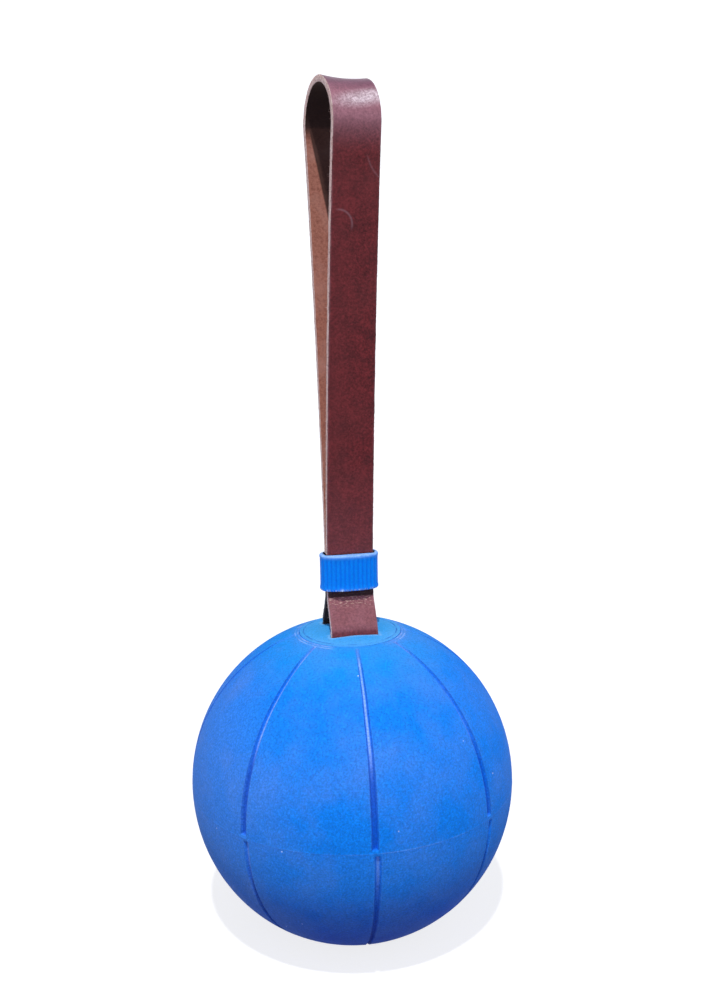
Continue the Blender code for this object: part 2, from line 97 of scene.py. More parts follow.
@dataclass(frozen=True)
class Layout:
    """Sizes that several sub-assemblies share. They repeat the CAD model's."""

    ball_radius: float = 87.5 * MM
    wall: float = 8.0 * MM
    flat_radius: float = 25.0 * MM
    cap_margin: float = 7.8 * MM
    crown_dome: float = 1.8 * MM
    crown_depth: float = 13.0 * MM
    strap_width: float = 25.0 * MM
    strap_thickness: float = 3.5 * MM
    slot_spacing: float = 24.0 * MM
    slot_clearance: float = 0.4 * MM
    loop_height: float = 280.0 * MM
    crest_radius: float = 20.0 * MM
    stem_rise: float = 19.0 * MM
    slide_travel: float = 110.0 * MM
    strap_twist: float = math.radians(9.5)
    slider_height: float = 19.5 * MM
    slider_seat: float = 4.5 * MM
    plate_thickness: float = 2.5 * MM
    bar_diameter: float = 12.0 * MM
    gap: float = 0.3 * MM

    @property
    def centre(self) -> float:
        """Height of the ball's centre."""
        return math.sqrt(self.ball_radius**2 - self.flat_radius**2)

    @property
    def slot_half(self) -> tuple[float, float]:
        """Half the width and half the depth of a strap slot."""
        clearance = self.slot_clearance
        return self.strap_width / 2 + clearance, self.strap_thickness / 2 + clearance

    @property
    def cap_radius(self) -> float:
        """Radius of the crown cap."""
        width, depth = self.slot_half
        return self.cap_margin + math.hypot(width, self.slot_spacing / 2 + depth)

    @property
    def rim(self) -> float:
        """Height of the crown hole's rim."""
        return self.centre + math.sqrt(self.ball_radius**2 - self.cap_radius**2)

    @property
    def cap_top(self) -> float:
        """Height of the cap's middle."""
        return self.rim + self.crown_dome

    @property
    def seat(self) -> float:
        """Height of the cap's underside."""
        return self.rim - self.crown_depth

    @property
    def plate_bottom(self) -> float:
        """Height of the anchor plate's underside."""
        return self.seat - self.gap - self.plate_thickness

    @property
    def stem_offset(self) -> float:
        """Distance of a stem's middle from the plane between the two runs."""
        return self.strap_thickness / 2 + self.gap / 2

    @property
    def pivot(self) -> float:
        """Height of the creases that the loop tilts about."""
        return self.rim + self.stem_rise

    @property
    def slider_bottom(self) -> float:
        """Height of the slider's lower edge at rest."""
        return self.pivot + self.slider_seat

    @property
    def stem_top(self) -> float:
        """Height at which the runs part."""
        return self.slider_bottom + self.slider_height

    @property
    def run_top(self) -> float:
        """Height of the slider's upper edge at the end of its travel."""
        return self.stem_top + self.slide_travel

    @property
    def crest_centre(self) -> float:
        """Height of the centre of the loop's round top."""
        return self.rim + self.loop_height - self.strap_thickness / 2 - self.crest_radius

    @property
    def run_lean(self) -> float:
        """Angle between a run and the vertical."""
        rise = self.crest_centre - self.stem_top
        reach = math.hypot(rise, self.stem_offset)
        return math.asin(self.crest_radius / reach) - math.atan2(self.stem_offset, rise)


def only(item: bpy.types.Object) -> None:
    """Select one object alone and make it the active one."""
    bpy.ops.object.select_all(action="DESELECT")
    item.select_set(True)
    bpy.context.view_layer.objects.active = item


def joined(first: bpy.types.Object, *others: bpy.types.Object) -> bpy.types.Object:
    """Join objects to the first one."""
    only(first)
    for other in others:
        other.select_set(True)
    bpy.ops.object.join()
    return first


def primitive(add: Callable[..., Any], name: str, **sizes: Any) -> bpy.types.Object:
    """Add a mesh primitive, name it and put its place in its mesh.

    Args:
        add: the operator that adds it.
        name: the name of the object and of its mesh.
        sizes: what the operator takes.

    Returns:
        The new object, selected alone.
    """
    bpy.ops.object.select_all(action="DESELECT")
    add(**sizes)
    item = bpy.context.active_object
    item.name = name
    item.data.name = name
    only(item)
    bpy.ops.object.transform_apply(location=True, rotation=True, scale=True)
    return item


def edit(item: bpy.types.Object, kind: str = "VERT") -> None:
    """Open an object in edit mode with everything selected."""
    only(item)
    bpy.ops.object.mode_set(mode="EDIT")
    bpy.ops.mesh.select_mode(type=kind)
    bpy.ops.mesh.select_all(action="SELECT")


def leave_edit() -> None:
    """Go back to object mode."""
    bpy.ops.object.mode_set(mode="OBJECT")


def pick_faces(item: bpy.types.Object, test: Callable[[Vector, Vector], bool]) -> None:
    """Select the faces that pass a test of their middle and normal, in edit mode."""
    bpy.ops.mesh.select_all(action="DESELECT")
    mesh = bmesh.from_edit_mesh(item.data)
    for face in mesh.faces:
        if test(face.calc_center_median(), face.normal):
            face.select_set(True)
    bmesh.update_edit_mesh(item.data)


def pick_edges(item: bpy.types.Object, test: Callable[[Vector, Vector], bool]) -> None:
    """Select the edges that pass a test of their two ends, in edit mode."""
    bpy.ops.mesh.select_all(action="DESELECT")
    mesh = bmesh.from_edit_mesh(item.data)
    for edge in mesh.edges:
        if test(edge.verts[0].co, edge.verts[1].co):
            edge.select_set(True)
    bmesh.update_edit_mesh(item.data)


def apply_modifiers(item: bpy.types.Object) -> None:
    """Apply an object's modifiers in their order."""
    only(item)
    for modifier in list(item.modifiers):
        bpy.ops.object.modifier_apply(modifier=modifier.name)


def cut_out(item: bpy.types.Object, cutter: bpy.types.Object) -> None:
    """Cut one object out of another, and remove the cutter."""
    cut = item.modifiers.new("Cut", "BOOLEAN")
    cut.operation = "DIFFERENCE"
    cut.solver = "EXACT"
    cut.object = cutter
    apply_modifiers(item)
    bpy.data.objects.remove(cutter, do_unlink=True)


def settle(item: bpy.types.Object) -> None:
    """Merge an open or closed mesh's doubles and turn its faces outwards."""
    edit(item)
    bpy.ops.mesh.remove_doubles(threshold=DOUBLES)
    bpy.ops.mesh.normals_make_consistent(inside=False)
    leave_edit()


def smooth(item: bpy.types.Object, angle: float) -> None:
    """Shade an object smooth, except on edges sharper than an angle in degrees."""
    only(item)
    bpy.ops.object.shade_smooth_by_angle(angle=math.radians(angle))


def points_of(item: bpy.types.Object) -> np.ndarray:
    """The mesh's vertices as an array of rows."""
    flat = np.empty(len(item.data.vertices) * 3)
    item.data.vertices.foreach_get("co", flat)
    return flat.reshape(-1, 3)


def move_points(item: bpy.types.Object, points: np.ndarray) -> None:
    """Put the mesh's vertices at new places."""
    item.data.vertices.foreach_set("co", points.ravel())
    item.data.update()


def write_attribute(item: bpy.types.Object, name: str, values: np.ndarray) -> None:
    """Store a number or a vector at each vertex, for the materials to read."""
    vector = values.ndim == 2
    kind = "FLOAT_VECTOR" if vector else "FLOAT"
    layer = item.data.attributes.new(name, kind, "POINT")
    layer.data.foreach_set("vector" if vector else "value", values.ravel())


def column_of(points: np.ndarray, columns: int) -> np.ndarray:
    """The number of the upright mesh column that each point is in, counted round the Z axis."""
    turn = np.arctan2(points[:, 1], points[:, 0])
    return np.round(turn / (2 * math.pi) * columns).astype(int) % columns


def wander(turn: np.ndarray, pace: float, level: float) -> np.ndarray:
    """A slow noise round 0.5 that meets itself after one turn.

    Args:
        turn: the angles to give it at.
        pace: how quickly it changes.
        level: where in the noise its circle lies.

    Returns:
        A value for each angle.
    """
    circle = [Vector((math.cos(angle) * pace, math.sin(angle) * pace, level)) for angle in turn]
    return np.array([0.5 + noise.noise(place) for place in circle])


def ease(value: np.ndarray | float) -> np.ndarray:
    """Smooth step from 0 to 1."""
    share = np.clip(value, 0.0, 1.0)
    return share * share * (3 - 2 * share)


def bump_at(value: np.ndarray, middle: float, width: float) -> np.ndarray:
    """A soft hump of height 1 round a middle."""
    return np.exp(-(((value - middle) / width) ** 2))


def linear(code: str) -> tuple[float, float, float, float]:
    """Turn an sRGB hex colour to linear RGBA."""
    parts = [int(code[i : i + 2], 16) / 255 for i in (1, 3, 5)]
    return (*[p / 12.92 if p <= 0.04045 else ((p + 0.055) / 1.055) ** 2.4 for p in parts], 1.0)


def add_node(tree: bpy.types.NodeTree, kind: str, *inputs: Any, **named: Any) -> bpy.types.Node:
    """Add one node, set it up and link it.

    Args:
        tree: the tree that gets the node.
        kind: the node's type without ShaderNode, such as TexNoise.
        inputs: a value for each enabled input in its order: a number, a vector, a hex colour, an output, or
            a node for its first enabled output.
        named: the node's own settings, in small letters, and inputs by name with a capital, _ for a space.

    Returns:
        The new node.
    """
    node = tree.nodes.new("ShaderNode" + kind)
    for name, value in named.items():
        if name[0].islower():
            setattr(node, name, value)
    given = list(zip([socket for socket in node.inputs if socket.enabled], inputs))
    given += [(node.inputs[n.replace("_", " ")], v) for n, v in named.items() if n[0].isupper()]
    for socket, value in given:
        if isinstance(value, bpy.types.Node):
            value = next(output for output in value.outputs if output.enabled)
        if isinstance(value, bpy.types.NodeSocket):
            tree.links.new(value, socket)
        else:
            socket.default_value = linear(value) if isinstance(value, str) else value
    return node


class Mixer:
    """A material under construction."""

    def __init__(self, name: str) -> None:
        """Start an empty material."""
        self.material = bpy.data.materials.new(name)
        self.material.use_nodes = True
        self.tree = self.material.node_tree
        self.tree.nodes.clear()

    def add(self, kind: str, *inputs: Any, **named: Any) -> bpy.types.Node:
        """Add a node to this material, with what add_node takes."""
        return add_node(self.tree, kind, *inputs, **named)

    def paint(self, base: Any, *coats: tuple[Any, Any]) -> bpy.types.Node:
        """Lay coats of colour over a base, one over another.

        Args:
            base: the colour underneath.
            coats: the share and the colour of each coat.

        Returns:
            The node that lays the last coat.
        """
        for share, colour in coats:
            base = self.add("Mix", share, base, colour, data_type="RGBA")
        return base

    def finish(self, **sockets: Any) -> bpy.types.Material:
        """Close the material with one Principled shader.

        Args:
            sockets: values or links by the socket's name, with _ for a space.

        Returns:
            The finished material.
        """
        self.add("OutputMaterial", self.add("BsdfPrincipled", **sockets))
        return self.material


@dataclass(frozen=True)
class MouldedRubber:
    """Vulcanised rubber from a steel mould: matt, faintly grained, with dust held in its fine pores."""

    name: str
    colour: str
    fleck: str
    dust: str
    # The worn colour serves both rubbed wear and painted highlights.
    worn_and_lit: str
    # The deep colour is painted shade, and the colour of dark seams.
    deep: str
    roughness: float
    # Painted shade for the ball's underside and painted light for its crown.
    underside_shade: str = "#284ED2"
    crown_lit: str = "#1595F2"
    speck: str = "#C4DEFF"
    sheen_tint: str = "#9FB8F0"
    mottle: float = 1.1 * MM
    cloud: float = 30.0 * MM
    grain: float = 0.9 * MM
    grain_height: float = 0.07 * MM
    grit: float = 0.22
    dust_share: float = 0.35
    underside_zone: Span = (72 * MM, 20 * MM)
    underside_share: float = 0.9
    speck_spacing: float = 15.0 * MM
    speck_radius: float = 0.5 * MM
    roughness_swing: float = 0.08
    sheen: float = 0.08
    gloss: float = 0.12

    @functools.cache
    def material(self) -> bpy.types.Material:
        """Colour flecks and dust clouds in real millimetres, and wear, painted light and painted shade from
        the mesh's own attributes.
        """
        make = Mixer(self.name)
        place = make.add("TexCoord").outputs["Object"]
        fleck = make.add("TexNoise", place, 1 / self.mottle, 3.0, 0.7)
        fleck_share = make.add("MapRange", fleck, 0.4, 0.6)
        scattered = make.add("MapRange", fleck, 0.3, 0.6, 0.45)
        cloud = make.add("TexNoise", place, 1 / self.cloud, 5.0, 0.6)
        cloud_share = make.add("MapRange", cloud, 0.42, 0.72, 0.0, self.dust_share)
        # Painted light makes the crown paler, and painted shade darkens the ball towards the bottom.
        crown_light, dust, wear, shade_and_seams = (
            make.add("Attribute", attribute_name=name).outputs["Fac"] for name in STORED
        )
        height = make.add("SeparateXYZ", place).outputs["Z"]
        underside_shade = make.add("MapRange", height, *self.underside_zone, 0.0, self.underside_share, **SOFT)
        dust_held = make.add("Math", dust, scattered, operation="MULTIPLY")
        dust_share = make.add("Math", cloud_share, dust_held, operation="ADD", use_clamp=True)
        wear_share = make.add("Math", wear, scattered, operation="MULTIPLY")
        speck = make.add("TexVoronoi", place, 1 / self.speck_spacing)
        reach = self.speck_radius / self.speck_spacing
        speck_share = make.add("MapRange", speck, reach, reach * 0.6)
        colour = make.paint(
            self.fleck,
            (fleck_share, self.colour),
            (crown_light, self.crown_lit),
            (underside_shade, self.underside_shade),
            (dust_share, self.dust),
            (wear_share, self.worn_and_lit),
            (shade_and_seams, self.deep),
            (speck_share, self.speck),
        )
        # Real mould grit is about 0.2 mm. It is drawn at 0.9 mm, nearly two pixels, so that it shows. Its
        # grains catch the light more than its pits hold shade.
        grain = make.add("TexNoise", place, 1 / self.grain, 2.0, 0.6)
        grit = make.add("MapRange", grain, 0.37, 0.77, 1 - 0.65 * self.grit, 1 + 1.35 * self.grit)
        low, high = self.roughness - self.roughness_swing, self.roughness + self.roughness_swing
        return make.finish(
            Base_Color=make.add("VectorMath", colour, grit, operation="SCALE"),
            Roughness=make.add("MapRange", cloud, To_Min=low, To_Max=high),
            Normal=make.add("Bump", 1.0, self.grain_height, Height=grain),
            Specular_IOR_Level=self.gloss,
            Sheen_Weight=self.sheen,
            Sheen_Roughness=0.5,
            Sheen_Tint=self.sheen_tint,
        )


@dataclass(frozen=True)
class Leather:
    """Where things lie along the strap, in its own coordinates from the front tail's end."""

    middle: float
    slider_edge: float
    cap_edge: float
    half_width: float

    def places(self, make: Mixer) -> tuple[Any, Any, Any, Any]:
        """The place on the strap, its parts across and along, and its distance from the crest's middle."""
        place = make.add("Attribute", attribute_name="strap_place").outputs["Vector"]
        across, along, _ = make.add("SeparateXYZ", place).outputs
        from_middle = make.add("Math", along, self.middle, operation="SUBTRACT")
        return place, across, along, make.add("Math", from_middle, operation="ABSOLUTE")

    def below(self, edge: float, zone: Span) -> Span:
        """Distances from the crest's middle of two places that are given from an edge downwards."""
        return self.middle - edge + zone[0], self.middle - edge + zone[1]


@dataclass(frozen=True)
class LeatherGrain(Leather):
    """Chrome-tanned cowhide, dyed oxblood and waxed: fine pores, a soft shine, paler where it rubs."""

    dye: str = "#7A2C2F"
    dye_deep: str = "#521B20"
    bloom: str = "#723032"
    # Colours of the crest's painted sheen, its painted darker top and its painted highlight.
    crest_sheen: str = "#A6727C"
    crest_top_shade: str = "#66364F"
    painted_highlight: str = "#E6D8DA"
    rubbed: str = "#905A60"
    fleck: str = "#DCB6A4"
    slider_shadow: str = "#1C0E12"
    scuffed: str = "#A87F86"
    pore: float = 1.1 * MM
    dye_patch: float = 9 * MM
    bloom_patch: float = 38 * MM
    crease_width: float = 1.7 * MM
    crease_spacing: float = 0.7 * MM
    relief_height: float = 0.05 * MM
    surface_level: float = 1.75 * MM
    crest_sheen_zone: Span = (48 * MM, 29 * MM)
    crest_top_zone: Span = (23 * MM, 8 * MM)
    bloom_zone: Span = (7 * MM, -9 * MM)
    shoulder_place: Span = (7.2 * MM, -20.3 * MM)
    shoulder_size: Span = (23 * MM, 5.2 * MM)
    shoulder_turn: float = math.radians(10)
    # From the slider's lower edge downwards: the rubbed foot, the leather above it, the creases, the painted
    # shadow band.
    foot_zone: Span = (-4 * MM, 1 * MM)
    above_zone: Span = (-78 * MM, -20 * MM)
    crease_zone: Span = (13 * MM, 6 * MM)
    band_below: float = 1.4 * MM
    band_zone: Span = (3.6 * MM, 2.2 * MM)
    # From the cap downwards.
    bared_zone: Span = (-0.3 * MM, -2.8 * MM)
    # From the strap's cut edge outwards.
    border_zone: Span = (-1.3 * MM, -0.2 * MM)
    scuff_width: float = 0.9 * MM
    scuffs: tuple[tuple, ...] = (
        ((-8.2 * MM, -79 * MM), 6.8 * MM, (0.75, 0.66, 0), 0.35, 0.9),
        ((21.5 * MM, -44 * MM), 16 * MM, (-0.83, -0.55, 0), 0.9, 0.5),
    )

    def scuff(
        self, make: Mixer, place: Any, centre: Span, radius: float, side: tuple, start: float, strength: float
    ) -> bpy.types.Node:
        """One faint curved scuff.

        Args:
            make: the material under construction.
            place: the strap's own coordinates.
            centre: the middle of the arc, across the strap and along it from the crest's middle.
            radius: the arc's radius.
            side: the direction in which the arc lies from its middle.
            start: how far towards that side the arc begins, as a share of the radius.
            strength: how pale the scuff is at its strongest.

        Returns:
            The node whose value is the strength on the scuff and 0 away from it.
        """
        middle = (centre[0], self.middle + centre[1], self.surface_level)
        offset = make.add("VectorMath", place, middle, operation="SUBTRACT")
        reach = make.add("VectorMath", offset, operation="LENGTH")
        away = make.add("Math", reach, radius, operation="SUBTRACT")
        near = make.add("Math", away, operation="ABSOLUTE")
        line = make.add("MapRange", near, self.scuff_width, 0.0, 0.0, strength, **SOFT)
        towards = make.add("VectorMath", offset, side, operation="DOT_PRODUCT")
        full = start + 0.7 * (1 - start)
        part = make.add("MapRange", towards, radius * start, radius * full, **SOFT)
        return make.add("Math", line, part, operation="MULTIPLY")

    @functools.cache
    def material(self) -> bpy.types.Material:
        """Dye, wax bloom, rubbed foot, creases and scuffs, with a painted sheen, shade and highlight on the
        crest and a painted shadow under the slider, all in the strap's own millimetres.
        """
        make = Mixer("cowhide grain, dyed and waxed")
        place, across, _, distance = self.places(make)
        dye = make.add("TexNoise", place, 1 / self.dye_patch, 5.0, 0.65)
        # Real hair pores are 0.2 to 0.3 mm apart. Drawn at 1.1 mm they break up the colour.
        fine = make.add("TexNoise", place, 1 / self.pore, 3.0, 0.7)
        grit = make.add("MapRange", fine, 0.3, 0.7, 0.74, 1.26)
        taken_up = make.add("Math", dye, fine, operation="ADD")
        taken_share = make.add("MapRange", taken_up, 0.8, 1.2)
        bloom = make.add("TexNoise", place, 1 / self.bloom_patch, 3.0)
        bloom_patches = make.add("MapRange", bloom, 0.45, 0.7, 0.0, 0.6)
        bloom_side = make.add("MapRange", across, *self.bloom_zone, 0.0, 0.45, **SOFT)
        bloom_share = make.add("Math", bloom_patches, bloom_side, operation="MAXIMUM")
        # Painted reflection: a pale mauve sheen over the crest. Painted shade darkens its very top, and a
        # painted highlight with glints lies on its front shoulder.
        crest_sheen = make.add("MapRange", distance, *self.crest_sheen_zone)
        crest_sheen_fall = make.add("Math", crest_sheen, 2.0, operation="POWER")
        crest_sheen_noise = make.add("MapRange", dye, 0.3, 0.6, 0.85)
        crest_sheen_share = make.add("Math", crest_sheen_fall, crest_sheen_noise, operation="MULTIPLY")
        top_share = make.add("MapRange", distance, *self.crest_top_zone, **SOFT)
        shoulder = make.add(
            "Mapping",
            place,
            (self.shoulder_place[0], self.middle + self.shoulder_place[1], self.surface_level),
            (0.0, 0.0, self.shoulder_turn),
            (*self.shoulder_size, 1.0),
            vector_type="TEXTURE",
        )
        from_shoulder = make.add("VectorMath", shoulder, operation="LENGTH")
        shoulder_share = make.add("MapRange", from_shoulder, 1.25, 0.0, interpolation_type="SMOOTHERSTEP")
        glint = make.add("MapRange", fine, 0.4, 0.6, 0.38, 0.8)
        highlight_share = make.add("Math", shoulder_share, glint, operation="MULTIPLY")
        # The foot below the slider is rubbed pale by the slider and bent into fine creases.
        foot = make.add("MapRange", distance, *self.below(self.slider_edge, self.foot_zone), **SOFT)
        foot_noise = make.add("MapRange", dye, 0.25, 0.6, 0.7)
        # The slot's lip shields the last of the foot, and it keeps its dye there.
        bared = make.add("MapRange", distance, *self.below(self.cap_edge, self.bared_zone), 0.25, **SOFT)
        foot_bared = make.add("Math", foot, bared, operation="MULTIPLY")
        foot_rubbed = make.add("Math", foot_bared, foot_noise, operation="MULTIPLY")
        above_zone = self.below(self.slider_edge, self.above_zone)
        above_slider = make.add("MapRange", distance, *above_zone, 0.0, 0.2, **SOFT)
        foot_share = make.add("Math", foot_rubbed, above_slider, operation="MAXIMUM")
        waxed = make.paint(
            self.dye_deep,
            (taken_share, self.dye),
            (bloom_share, self.bloom),
            (crest_sheen_share, self.crest_sheen),
            (top_share, self.crest_top_shade),
            (highlight_share, self.painted_highlight),
            (foot_share, self.rubbed),
        )
        gritty = make.add("VectorMath", waxed, grit, operation="SCALE")
        crease_scale = (1 / self.crease_width, 1 / self.crease_spacing, 0.0)
        crease_place = make.add("VectorMath", place, crease_scale, operation="MULTIPLY")
        crease = make.add("TexNoise", crease_place, 1.0, 3.0)
        crease_end = make.add("MapRange", distance, *self.below(self.slider_edge, self.crease_zone), **SOFT)
        crease_zone = make.add("Math", crease_end, foot, operation="MULTIPLY")
        crease_height = make.add("Math", crease, crease_zone, operation="MULTIPLY")
        fleck = make.add("MapRange", crease, 0.53, 0.67, 0.0, 0.85)
        fleck_share = make.add("Math", fleck, crease_zone, operation="MULTIPLY")
        # Painted shadow: a dark band on the leather just under the slider's lower edge.
        band_middle = self.middle - self.slider_edge + self.band_below
        from_band = make.add("Math", distance, band_middle, operation="SUBTRACT")
        band_reach = make.add("Math", from_band, operation="ABSOLUTE")
        band_share = make.add("MapRange", band_reach, *self.band_zone, 0.0, 0.9, **SOFT)
        scuffs = (self.scuff(make, place, *scuff) for scuff in self.scuffs)
        scuffed = make.add("Math", *scuffs, operation="MAXIMUM")
        sideways = make.add("Math", across, operation="ABSOLUTE")
        border = make.add("MapRange", sideways, *(self.half_width + b for b in self.border_zone), **SOFT)
        border_noise = make.add("MapRange", dye, 0.35, 0.65)
        border_share = make.add("Math", border, border_noise, operation="MULTIPLY")
        wear = make.add("Math", scuffed, border_share, operation="MAXIMUM")
        wear_share = make.add("Math", wear, 0.4, operation="MULTIPLY")
        coats = (fleck_share, self.fleck), (band_share, self.slider_shadow), (wear_share, self.scuffed)
        pores = make.add("TexVoronoi", place, 1 / self.pore, feature="SMOOTH_F1")
        texture = make.add("Math", pores, fine, operation="ADD")
        creased = make.add("Math", crease_height, 6.0, texture, operation="MULTIPLY_ADD")
        shine = make.add("MapRange", dye, 0.3, 0.7, 0.3, 0.4)
        return make.finish(
            Base_Color=make.paint(gritty, *coats),
            Roughness=make.add("Math", foot, 0.3, shine, operation="MULTIPLY_ADD", use_clamp=True),
            Normal=make.add("Bump", 1.0, self.relief_height, Height=creased),
            Specular_IOR_Level=0.16,
        )


@dataclass(frozen=True)
class LeatherFlesh(Leather):
    """The hide's suede side: a short pink-brown nap that scatters light."""

    nap: str = "#B87864"
    nap_dark: str = "#8E5547"
    nap_light: str = "#CB9686"
    # The colour of the painted shade.
    painted_shade: str = "#1A1214"
    sheen_tint: str = "#E8C4B4"
    nap_size: float = 1.6 * MM
    nap_height: float = 0.12 * MM
    stain_patch: float = 16 * MM
    crest_shade_zone: Span = (40 * MM, 28.5 * MM)
    # The painted shadow ends along a slant: how steep it is, and its distance from the crest's middle.
    shadow_slant: Span = (5.7, 94.5 * MM)
    shadow_softness: float = 6 * MM
    shadow_zone: Span = (112 * MM, 80 * MM)
    foot_zone: Span = (-6 * MM, 2 * MM)

    @functools.cache
    def material(self) -> bpy.types.Material:
        """Brushed nap in tufts of about 1.6 mm over slow stains, with painted shade inside the crest and
        below the slider.
        """
        make = Mixer("cowhide flesh side, brushed")
        place, across, _, distance = self.places(make)
        nap = make.add("TexNoise", place, 1 / self.nap_size, 4.0, 0.75)
        nap_share = make.add("MapRange", nap, 0.3, 0.58)
        stain = make.add("TexNoise", place, 1 / self.stain_patch, 3.0)
        stain_share = make.add("MapRange", stain, 0.5, 0.75, 0.0, 0.6)
        # Painted shade darkens the nap below the slider, where the runs face each other.
        foot = make.add("MapRange", distance, *self.below(self.slider_edge, self.foot_zone), **SOFT)
        # Painted shade darkens the nap inside the crest, and a painted shadow reaches further down, its edge
        # on a slant.
        crest_shade = make.add("MapRange", distance, *self.crest_shade_zone, 0.0, 0.95, **SOFT)
        shadow_edge = make.add("Math", across, *self.shadow_slant, operation="MULTIPLY_ADD")
        within = make.add("Math", shadow_edge, distance, operation="SUBTRACT")
        in_shadow = make.add("MapRange", within, 0.0, self.shadow_softness, 0.0, 0.86, **SOFT)
        shadow_end = make.add("MapRange", distance, *self.shadow_zone, **SOFT)
        shadowed = make.add("Math", in_shadow, shadow_end, operation="MULTIPLY")
        crest_and_shadow = make.add("Math", crest_shade, shadowed, operation="MAXIMUM")
        shade_share = make.add("Math", foot, crest_and_shadow, operation="MAXIMUM")
        coats = (nap_share, self.nap), (stain_share, self.nap_light), (shade_share, self.painted_shade)
        return make.finish(
            Base_Color=make.paint(self.nap_dark, *coats),
            Roughness=0.95,
            Normal=make.add("Bump", 1.0, self.nap_height, Height=nap),
            Specular_IOR_Level=0.1,
            Sheen_Weight=0.3,
            Sheen_Roughness=0.6,
            Sheen_Tint=self.sheen_tint,
        )


@dataclass(frozen=True)
class LeatherCutEdge(Leather):
    """A raw cut through the hide: pale undyed fibre, rough, in layers along the strap."""

    fibre: str = "#F6DCD0"
    layer: str = "#E0B4A6"
    pit: str = "#A06C62"
    painted_shade: str = "#1A1214"
    fibre_size: tuple[float, float, float] = (0.9 * MM, 3.5 * MM, 0.6 * MM)
    fibre_height: float = 0.2 * MM
    pit_size: float = 1.1 * MM
    foot_zone: Span = (-5 * MM, 1 * MM)

    @functools.cache
    def material(self) -> bpy.types.Material:
        """Fibre layers 0.6 mm thick, drawn out along the strap, with dark pits between them."""
        make = Mixer("cowhide, cut edge")
        place, _, along, _ = self.places(make)
        drawn = make.add("VectorMath", place, [1 / size for size in self.fibre_size], operation="MULTIPLY")
        layers = make.add("TexNoise", drawn, 1.0, 4.0, 0.7)
        share = make.add("MapRange", layers, 0.38, 0.62)
        pits = make.add("TexNoise", place, 1 / self.pit_size, 3.0, 0.7)
        pit_share = make.add("MapRange", pits, 0.46, 0.36, 0.0, 0.85)
        # Painted shade: the rear run's foot lies in the shadow of the slider and the front run, and its edges
        # are drawn black.
        rear_foot = (2 * self.middle - self.slider_edge + place for place in self.foot_zone)
        foot = make.add("MapRange", along, *rear_foot, 0.0, 0.95)
        coats = (share, self.fibre), (pit_share, self.pit), (foot, self.painted_shade)
        return make.finish(
            Base_Color=make.paint(self.layer, *coats),
            Roughness=0.9,
            Normal=make.add("Bump", 1.0, self.fibre_height, Height=layers),
            Specular_IOR_Level=0.15,
            Sheen_Weight=0.2,
            Sheen_Roughness=0.5,
        )


@dataclass(frozen=True)
class PlatedMetal:
    """Rolled or turned metal with a thin plated or bare skin: fine lay marks and a slow stain."""

    name: str
    colour: str
    stain: str
    roughness: float
    lay: tuple[float, float, float]
    stain_patch: float = 9 * MM
    lay_height: float = 0.01 * MM
    roughness_swing: float = 0.1

    @functools.cache
    def material(self) -> bpy.types.Material:
        """Lay marks from one stretched noise, stains from a slow one."""
        make = Mixer(self.name)
        place = make.add("TexCoord").outputs["Object"]
        slow = make.add("TexNoise", place, 1 / self.stain_patch, 3.0)
        share = make.add("MapRange", slow, 0.4, 0.7)
        drawn = make.add("VectorMath", place, [1 / size for size in self.lay], operation="MULTIPLY")
        marks = make.add("TexNoise", drawn, 1.0, 2.0)
        low, high = self.roughness - self.roughness_swing, self.roughness + self.roughness_swing
        return make.finish(
            Base_Color=make.paint(self.colour, (share, self.stain)),
            Metallic=1.0,
            Roughness=make.add("MapRange", marks, To_Min=low, To_Max=high),
            Normal=make.add("Bump", 1.0, self.lay_height, Height=marks),
        )


BALL_RUBBER = MouldedRubber(
    "ball rubber, moulded and matt",
    colour="#0E8DFB",
    fleck="#0A7AE8",
    dust="#6690DE",
    worn_and_lit="#A4C8FF",
    deep="#0F3FB8",
    roughness=0.76,
)
CAP_RUBBER = MouldedRubber(
    "cap rubber, moulded and matt",
    colour="#3AABF8",
    fleck="#309EEA",
    dust="#60B2F2",
    worn_and_lit="#A4D4FA",
    deep="#1A50BC",
    roughness=0.7,
    dust_share=0.5,
    speck_radius=0.01 * MM,
    grit=0.14,
)
SLIDER_RUBBER = MouldedRubber(
    "slider rubber, moulded with ribs",
    colour="#0092FF",
    fleck="#0088FC",
    dust="#48A2FC",
    worn_and_lit="#CCE4FF",
    deep="#0050D8",
    roughness=0.46,
    dust_share=0.1,
    speck_radius=0.01 * MM,
    grit=0.06,
    sheen=0.0,
)
ZINC = PlatedMetal(
    "mild steel, rolled and zinc plated",
    colour="#B4B7BA",
    stain="#9DA09B",
    roughness=0.38,
    lay=(0.3 * MM, 12 * MM, 0.3 * MM),
)
COPPER = PlatedMetal(
    "copper, headed cold",
    colour="#C98157",
    stain="#A8623F",
    roughness=0.34,
    lay=(0.4 * MM, 0.4 * MM, 0.4 * MM),
)


